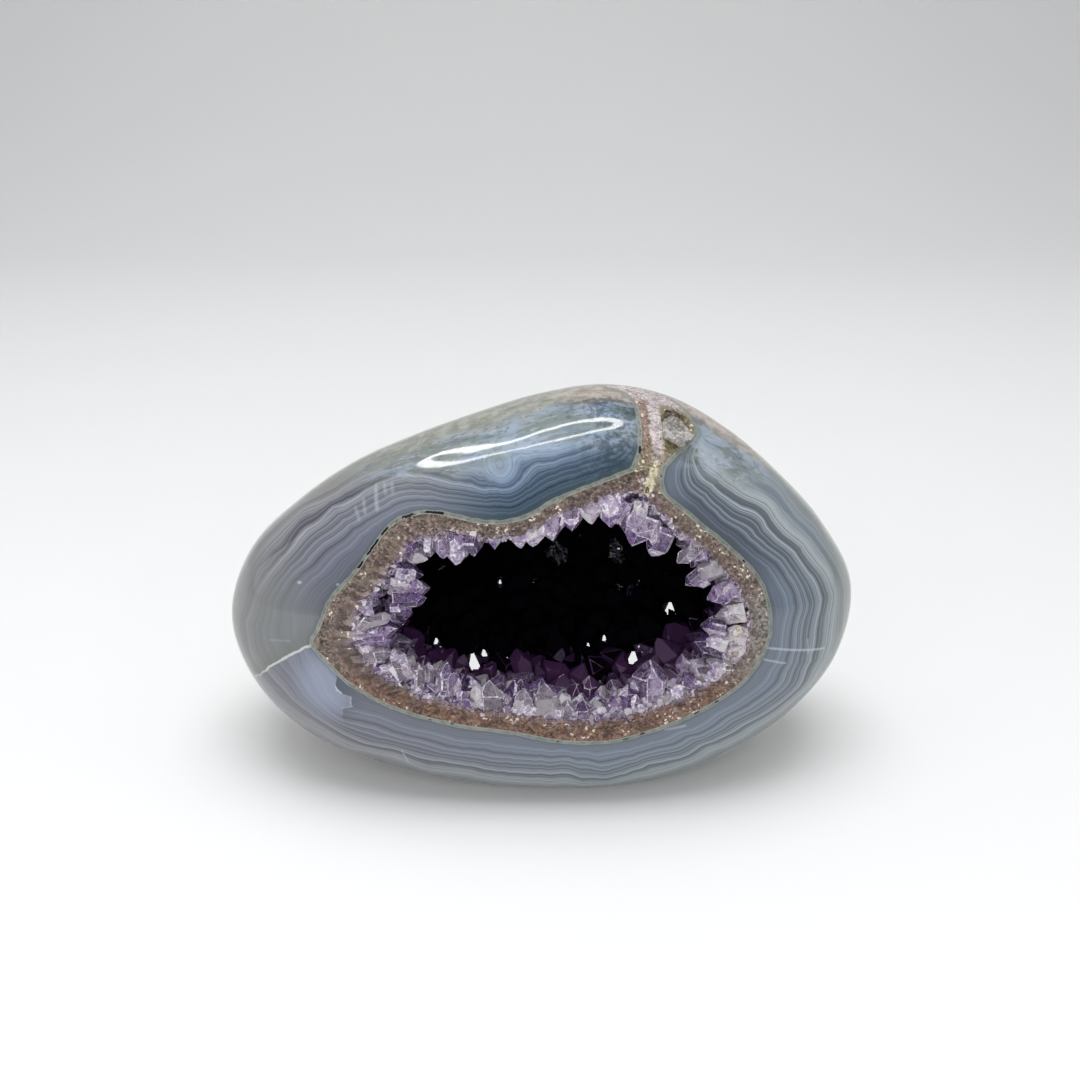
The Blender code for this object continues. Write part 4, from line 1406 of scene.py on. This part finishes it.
# Each kind of cloud's scale, where in the noise it starts and is full, its strength and its colour
CLOUDS = [
    (0.3, 0.42, 0.54, 0.65, (126, 136, 126)), (0.22, 0.5, 0.6, 0.6, (164, 176, 194)),
    (0.7, 0.55, 0.63, 0.5, (84, 98, 100)), (0.5, 0.58, 0.66, 0.5, (176, 186, 190)),
]


def add_lilac_zone(paint, stone, band, across, up):
    """The bluish stretch outside the upper right bands."""
    zone = paint.fade(band, 0.88, 0.98) * paint.drop(band, 1.12, 1.25)
    zone = zone * paint.fade(across, 24.0, 30.0) * paint.fade(up, 40.0, 52.0)
    return paint.mix(zone * 0.42, stone, colour(134, 146, 166))


def crack_height(paint, place, across, up):
    """How far above the old crack at the left end a place lies, in millimetres."""
    wobble = paint.noise(place, 0.5, 3.0) - 0.5
    aside = across + 43.1
    return up - (aside * (aside * -0.022 + 0.55) + 33.3) + wobble * 1.4


def add_crack(paint, stone, place, above_crack, by_crack, front):
    """The old crack: a whitish line, a shaded strip above it, a pale bluish patch below and a painted
    highlight along the patch's lower edge.
    """
    across, _, up = paint.axes(place)
    below = above_crack < 0.0
    edge = across + (paint.noise(place, 0.6, 4.0, 0.6) - 0.5) * 2.2
    limit = (paint.fade(up, 23.8, 24.3, -35.9, -38.1) + paint.fade(up, 24.3, 26.0, 0.0, -0.8)
             + paint.fade(up, 21.9, 20.6, 0.0, -2.2))
    beside = edge - limit
    nearby = paint.drop(paint.vector("LENGTH", paint.join(across + 41.0, (up - 25.5) * 0.9)), 2.0, 9.0)
    patch = below * paint.drop(beside, -0.05, 0.15) * nearby * front
    stone = paint.mix(patch * 0.6, stone, colour(158, 168, 190))
    reach = paint.drop(across, -43.5, -42.5) * by_crack
    shaded = paint.fade(above_crack, 0.0, 0.2) * paint.drop(above_crack, 0.5, 4.5) * reach
    stone = paint.mix(shaded * 0.45, stone, colour(104, 108, 100))
    line = paint.drop(abs(above_crack), 0.12, 0.45) * reach * paint.fade(across, -57.0, -52.0, 0.35, 1.0)
    stone = paint.mix(line * 0.8, stone, colour(214, 217, 214))
    dark = paint.fade(beside, 0.0, 0.2) * paint.drop(beside, 3.0, 9.0) * nearby * below
    stone = paint.mix(dark * 0.9, stone, colour(72, 82, 99))
    # Painted highlight: a bright white line along the patch's jagged lower edge
    rim = paint.drop(abs(beside + 0.2), 0.1, 0.4) * nearby
    rim = rim * paint.drop(up, 25.0, 26.5) * paint.fade(up, 20.5, 22.0)
    return paint.mix(rim * 0.6, stone, colour(206, 212, 220))


def off_stroke(paint, spot, start, end):
    """How far a place is from a straight stroke, both as seen from the front."""
    start, end = Vector((start[0], 0.0, start[1])), Vector((end[0], 0.0, end[1]))
    run = end - start
    offset = paint.vector("SUBTRACT", spot, paint.join(*start))
    share = paint.clamped(paint.vector("DOT_PRODUCT", offset, paint.join(*run)) / run.length_squared)
    nearest = paint.vector("SCALE", paint.join(*run), scale=share)
    return paint.vector("LENGTH", paint.vector("SUBTRACT", offset, nearest))


def add_junction(paint, stone, paleness, place):
    """Cream and yellowish grains where the vein leaves the hollow."""
    across, _, up = paint.axes(place)
    wobble = paint.noise(place, 0.5, 3.0) - 0.5
    apart = off_stroke(paint, paint.join(across + wobble * 3.0, 0.0, up), *JUNCTION)
    cream = grain_ramp(paint, paleness, (104, 92, 62), (182, 172, 136), (226, 220, 194))
    return paint.mix(paint.drop(apart, 0.5, 1.1), stone, cream)


JUNCTION = ((18.3, 60.6), (21.2, 66.4))


def add_marks(paint, stone, place, front):
    """Fine pale strokes in the polish, each from one place to another, as x and z."""
    across, _, up = paint.axes(place)
    wobble = paint.noise(place, 1.2, 2.0) - 0.5
    spot = paint.join(across + wobble * 0.5, 0.0, up)
    for start, end, width, strength in MARKS:
        mark = paint.drop(off_stroke(paint, spot, start, end), 0.0, width) * front * strength
        stone = paint.mix(mark, stone, colour(206, 212, 222))
    return stone


# Strokes as start, end, half their width and how strongly they show
MARKS = [
    ((-31.2, 60.0), (-30.6, 57.6), 0.7, 0.3), ((-33.4, 58.0), (-32.9, 56.6), 0.6, 0.2),
    ((-34.9, 56.7), (-34.1, 55.6), 0.6, 0.2), ((-29.6, 60.6), (-29.2, 59.8), 0.6, 0.2),
    ((-28.0, 60.9), (-27.7, 60.1), 0.6, 0.16), ((42.9, 32.7), (55.8, 28.6), 0.4, 0.55),
    ((42.6, 30.4), (47.2, 28.5), 0.35, 0.45), ((24.0, 18.0), (27.8, 18.4), 0.5, 0.35),
    ((-45.9, 43.8), (-45.5, 43.9), 0.4, 0.6), ((-38.0, 45.0), (-37.7, 45.1), 0.35, 0.6),
    ((10.6, 62.4), (11.2, 63.0), 1.1, 0.35), ((-26.8, 12.2), (-25.9, 8.8), 0.35, 0.3),
    ((51.8, 32.1), (52.2, 29.0), 0.35, 0.3), ((-52.4, 31.7), (-47.9, 32.8), 0.35, 0.12),
]


def add_crown_skin(paint, stone, place):
    """The thin mottled skin over the crown, beige and pink towards the vein."""
    across, back, up = paint.axes(place)
    blotch = paint.noise(place, 0.4, 5.0, 0.65)
    wide = paint.noise(place, 0.11, 2.0) - 0.5
    moved = back + (blotch - 0.5) * 8.0 + wide * 7.0
    high = paint.fade(up, 58.0, 65.0)
    mottled = paint.fade(blotch, 0.36, 0.66)
    green = paint.mix(mottled, colour(122, 126, 112), colour(166, 167, 158))
    beige = paint.mix(mottled, colour(148, 136, 126), colour(190, 180, 172))
    skin = paint.mix(paint.fade(across + wide * 30.0, -4.0, 12.0), green, beige)
    stone = paint.mix(paint.fade(moved, -4.0, 1.5) * high, stone, skin)
    border = paint.drop(abs(moved + 1.6), 0.3, 1.1) * high
    border = border * paint.fade(across, 2.0, 8.0, 0.0, 0.55) * paint.drop(across, 19.0, 22.0)
    stone = paint.mix(border, stone, colour(74, 66, 58))
    specks = paint.fade(paint.noise(place, 0.8, 3.0), 0.58, 0.66, 0.0, 0.6)
    near = paint.fade(moved, -11.0, -6.0) * high * paint.drop(across, 8.0, 14.0)
    return paint.mix(specks * near, stone, colour(100, 112, 104))


def add_rim_line(paint, stone, place):
    """The pale grey-green border round the hollow, with dark dashes and specks in it."""
    across, _, up = paint.axes(place)
    edge = paint.attribute("edge") + (paint.noise(place, 0.5, 3.0) - 0.5) * 0.7
    stone = paint.mix(paint.drop(edge, 0.8, 2.0) * 0.4, stone, colour(78, 86, 84))
    uneven = paint.fade(paint.noise(place, 0.9, 4.0, 0.7), 0.35, 0.65)
    tone = paint.mix(uneven, colour(108, 113, 104), colour(140, 145, 137))
    stone = paint.mix(paint.drop(edge, 0.62, 0.84), stone, tone)
    for middle, wide in ((0.12, 0.16), (0.78, 0.14)):
        line = paint.drop(abs(edge - middle), 0.4 * wide, wide)
        stone = paint.mix(line * 0.35, stone, colour(172, 176, 168))
    upper_left = paint.drop(across, -19.0, -15.0) * paint.fade(up, 46.0, 50.0)
    dash = paint.noise(place, 0.5, 1.0) > paint.fade(upper_left, 0.0, 1.0, 0.68, 0.46)
    inside = paint.fade(edge, 0.2, 0.28) * paint.drop(edge, 0.66, 0.74)
    return paint.mix(dash * inside, stone, colour(14, 18, 20))


def rind_colour(paint, place):
    """The find's own skin: grey-brown and pitted, with green specks."""
    tone = paint.noise(place, 0.9, 5.0, 0.75) * 0.55 + paint.noise(place, 0.07, 5.0, 0.65) * 0.45
    rind = paint.ramp(tone, [(0.32, colour(64, 56, 48)), (0.44, colour(112, 102, 90)),
                             (0.52, colour(146, 138, 124)), (0.64, colour(186, 180, 168))])
    warm = paint.fade(paint.noise(place, 0.05, 2.0), 0.45, 0.6, 0.0, 0.5)
    rind = paint.mix(warm, rind, paint.mix(1.0, rind, (1.0, 0.82, 0.62, 1), "MULTIPLY"))
    specks = paint.fade(paint.noise(place, 0.6, 4.0), 0.56, 0.64, 0.0, 0.75)
    return paint.mix(specks, rind, colour(78, 90, 74))


def add_shell(mouth):
    """The agate: the stone with the hollow and the vein's course cut out of it."""
    shell = stone_form("agate_body", STONE_STEPS, STONE_RINGS)
    carve(shell, "DIFFERENCE", hollow_form("mouth_cutter", mouth, MOUTH_BACK))
    carve(shell, "DIFFERENCE", vein_form("vein_cutter", smooth_loop(VEIN_OUTLINE, 5), VEIN_FLOOR))
    shell.data.shade_smooth()
    shell.data.set_sharp_from_angle(angle=math.radians(40))
    places = points_of(shell)
    rim = rim_points(shell)
    write_attribute(shell, "edge", distances(places, rim))
    bands = band_values(places, rim)
    write_attribute(shell, "band", bands)
    roughen_rind(shell, places, bands)
    shell.data.materials.append(agate_material())
    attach(shell, "root")
    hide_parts("agate_shell")


def roughen_rind(shell, places, bands):
    """Sinks shallow lumps and pits into the skin of the hidden back."""
    share = np.clip((bands - RIND_START) / 0.3, 0.0, 1.0) * np.clip((places[:, 2] - 1.0) / 4.0, 0.0, 1.0)
    centre = np.array((0.0, 0.0, CENTRE_HEIGHT))
    for index in np.flatnonzero(share > 0.0):
        place = Vector(places[index])
        sunk = 0.5 + 0.5 * noise.noise(place * 0.12) + 0.35 * noise.noise(place * 0.45)
        inward = centre - places[index]
        inward *= RIND_RELIEF * share[index] * max(0.0, sunk) / np.linalg.norm(inward)
        shell.data.vertices[index].co = (places[index] + inward) * MM


RIND_START = 1.6
RIND_RELIEF = 1.3
STONE_STEPS = 16
STONE_RINGS = 110
SEAM = 0.03


def grain_ramp(paint, paleness, dark, middle, pale):
    """Grains from a dark colour through a middling one to a pale one, with a few near white."""
    return paint.ramp(paleness, [(0.0, colour(*dark)), (0.45, colour(*middle)), (0.955, colour(*pale)),
                                 (1.0, colour(232, 222, 210))])


def quartz_material():
    """Granular quartz: fine grains next to the agate, and cut columns that run to the crystals; on the
    hollow's wall, partly painted light near the brink and painted shade deeper in.
    """
    paint = Nodes("granular_quartz")
    place = paint.place()
    zone = paint.attribute("zone")
    across, _, up = paint.axes(place)
    aside = across - float(HOLLOW_MIDDLE[0])
    above = up - float(HOLLOW_MIDDLE[1])
    reach = paint.vector("LENGTH", paint.join(aside, above))
    spokes = paint.join(aside * COLUMN_REACH / reach, above * COLUMN_REACH / reach, reach * 0.25)
    columns = paint.fade(zone, 0.3, 0.6) * paint.drop(across, -26.0, -20.0)
    cell = paint.mix(columns, paint.cells(place, GRAIN_SIZE), paint.cells(spokes, COLUMN_WIDTH))
    patches = paint.noise(place, 0.3, 4.0, 0.6) - 0.5
    paleness = paint.clamped(patches * 1.5 + paint.red(cell) * 0.84 + 0.07)
    brown = grain_ramp(paint, paleness, (62, 40, 30), (106, 76, 60), (150, 118, 98))
    greyish = grain_ramp(paint, paleness, (62, 50, 46), (106, 90, 82), (150, 134, 122))
    lilac = grain_ramp(paint, paleness, (70, 54, 76), (132, 112, 134), (196, 180, 198))
    ashen = grain_ramp(paint, paleness, (92, 84, 78), (130, 126, 120), (172, 168, 160))
    stone = paint.mix(paint.drop(up, 24.0, 34.0), greyish, brown)
    right = paint.fade(across, 32.0, 42.0, 0.0, 0.7) * paint.fade(up, 22.0, 30.0) * paint.drop(up, 40.0, 46.0)
    stone = paint.mix(right, stone, ashen)
    stone = add_junction(paint, stone, paleness, place)
    # Lilac behind the brink, partly the lining's colour, partly painted light that shows through the clear
    # crystals; then darker deeper down the hollow, to near black, partly its deep violet, partly painted
    # shade
    stone = paint.mix(paint.fade(zone, 0.7, 1.4), stone, lilac)
    stone = paint.mix(paint.fade(zone, 3.0, 7.0), stone, (0.05, 0.02, 0.08, 1))
    stone = paint.mix(paint.fade(zone, 7.0, 12.0), stone, (0.004, 0.002, 0.006, 1))
    paint.set(Base_Color=stone, Roughness=0.2, IOR=1.54, Normal=paint.tilted(cell, 0.35))
    return paint.material


def vein_material():
    """The vein's quartz: a brown strip, a pale pink one and olive round the pocket."""
    paint = Nodes("vein_quartz")
    place = paint.place()
    across, back, _ = paint.axes(place)
    cell = paint.cells(place, GRAIN_SIZE)
    patches = paint.noise(place, 0.4, 3.0) - 0.5
    paleness = paint.clamped(patches * 0.8 + paint.red(cell))
    brown = grain_ramp(paint, paleness, (96, 74, 62), (134, 110, 96), (160, 138, 122))
    pink = grain_ramp(paint, paleness, (136, 122, 120), (190, 176, 176), (226, 216, 218))
    olive = grain_ramp(paint, paleness, (84, 76, 52), (118, 108, 80), (146, 136, 106))
    edge = across + patches * 1.6
    stone = paint.mix(paint.fade(edge, 20.1, 20.9), brown, pink)
    olive_side = paint.fade(edge, 22.2, 23.2) * paint.drop(back, -0.5, 1.5)
    neck = paint.drop(back, -14.0, -11.0) * 0.7
    stone = paint.mix(paint.math("MAXIMUM", olive_side, neck), stone, olive)
    stone = paint.mix(paint.fade(back, -2.0, 1.5), stone, pink)
    stone = add_junction(paint, stone, paleness, place)
    paint.set(Base_Color=stone, Roughness=0.25, IOR=1.54, Normal=paint.tilted(cell, 0.6))
    return paint.material


GRAIN_SIZE = 0.42
COLUMN_WIDTH = 0.9
COLUMN_REACH = 38.0


def wear_quartz(piece, material):
    """Gives a part of the crust its material and its place in the frame."""
    piece.data.materials.append(material)
    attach(piece, "root")
    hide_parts("amethyst_crust")


def add_crust(rng, mouth):
    """The granular quartz between the agate and the crystals, ground level with the stone."""
    rings, brink = crust_rings(rng, inset_loop(mouth, SEAM))
    crust = closed_rings("quartz_crust", rings)
    count = rings.shape[1]
    zone = np.zeros(rings.shape[:2])
    face = brink - CRUST_FACE_STEPS
    zone[face:brink + 1] = np.linspace(0.0, 1.0, CRUST_FACE_STEPS + 1)[:, None]
    zone[brink:] = 1.0 + np.maximum(0.0, rings[brink:, :, 1] - rings[brink, :, 1])
    write_attribute(crust, "zone", zone.reshape(-1))
    wear_quartz(crust, quartz_material())
    frost_and_highlight = frost_material()
    for look, found in wall_crystals(rng, rings[brink:]).items():
        if found.faces:
            found.finish(look + "_crystals", crystal_material("amethyst_" + look, *CRYSTAL_LOOKS[look]),
                         frost_and_highlight)
    grains = Crystals()
    face_crystals(rng, rings[face:brink + 1], grains)
    grains.finish("face_grains", grain_material())


def add_vein(rng, mouth):
    """The quartz that fills the vein, ground level with the stone, and the pocket in it."""
    vein = stone_form("vein_quartz", STONE_STEPS, STONE_RINGS)
    outline = inset_loop(smooth_loop(VEIN_OUTLINE, 5), SEAM)
    carve(vein, "INTERSECT", vein_form("vein_outer", outline, VEIN_FLOOR + SEAM))
    carve(vein, "DIFFERENCE", hollow_form("mouth_again", mouth, MOUTH_BACK))
    middle = pocket_middle(vein)
    carve(vein, "DIFFERENCE", pocket_form("pocket_cutter", middle))
    wear_quartz(vein, vein_material())
    add_pocket_crystals(rng, middle)


# The small bowl in the vein's fill, as x and y, and how far it reaches each way
POCKET_PLACE = (25.6, -5.8)
POCKET_SIZE = np.array((2.9, 5.2, 3.0))
POCKET_CRYSTALS = 110
POCKET_UP = np.array((0.33, -0.1, 0.94))


def pocket_middle(vein):
    """The place on the vein's top that the pocket is sunk in."""
    mesh = vein.data
    tree = BVHTree.FromPolygons(points_of(vein), [tuple(face.vertices) for face in mesh.polygons])
    return np.array(tree.ray_cast(Vector((*POCKET_PLACE, VEIN_TOP)), Vector((0, 0, -1)))[0])


def pocket_form(name, middle):
    """A rough ball that cuts the pocket."""
    builder = bmesh.new()
    bmesh.ops.create_icosphere(builder, subdivisions=4, radius=1.0)
    points = [middle + POCKET_SIZE * (1 + 0.25 * noise.noise(vert.co * 2.2)) * np.array(vert.co)
              for vert in builder.verts]
    faces = [tuple(vert.index for vert in face.verts) for face in builder.faces]
    builder.free()
    return new_piece(name, points, faces)


def add_pocket_crystals(rng, middle):
    """Small golden crystals over the pocket's floor and sides."""
    found = Crystals()
    for index in range(POCKET_CRYSTALS):
        rise = -0.08 - 0.9 * (index + 0.5) / POCKET_CRYSTALS
        turn = index * GOLDEN_TURN
        out = np.array((math.cos(turn), math.sin(turn), 0.0)) * math.sqrt(1 - rise ** 2)
        out[2] = rise
        axis = -out + 0.35 * rng.normal(size=3) + (0.0, 0.0, 0.35)
        axis /= np.linalg.norm(axis)
        radius = rng.uniform(0.3, 0.75)
        foot = middle + 0.97 * POCKET_SIZE * out
        found.grow(rng, foot, axis, radius, radius * rng.uniform(1.3, 2.2), rng.random(),
                   cut=(POCKET_UP, middle - 0.3 * POCKET_UP))
    found.finish("pocket_crystals", crystal_material("quartz_golden", *CRYSTAL_LOOKS["golden"]))


def main():
    add_camera()
    add_lights()
    add_floor()
    mouth = smooth_loop(MOUTH_OUTLINE, 10)
    add_shell(mouth)
    rng = np.random.default_rng(SEED)
    add_crust(rng, mouth)
    add_vein(rng, mouth)
    bpy.context.scene.view_settings.view_transform = "Standard"


main()
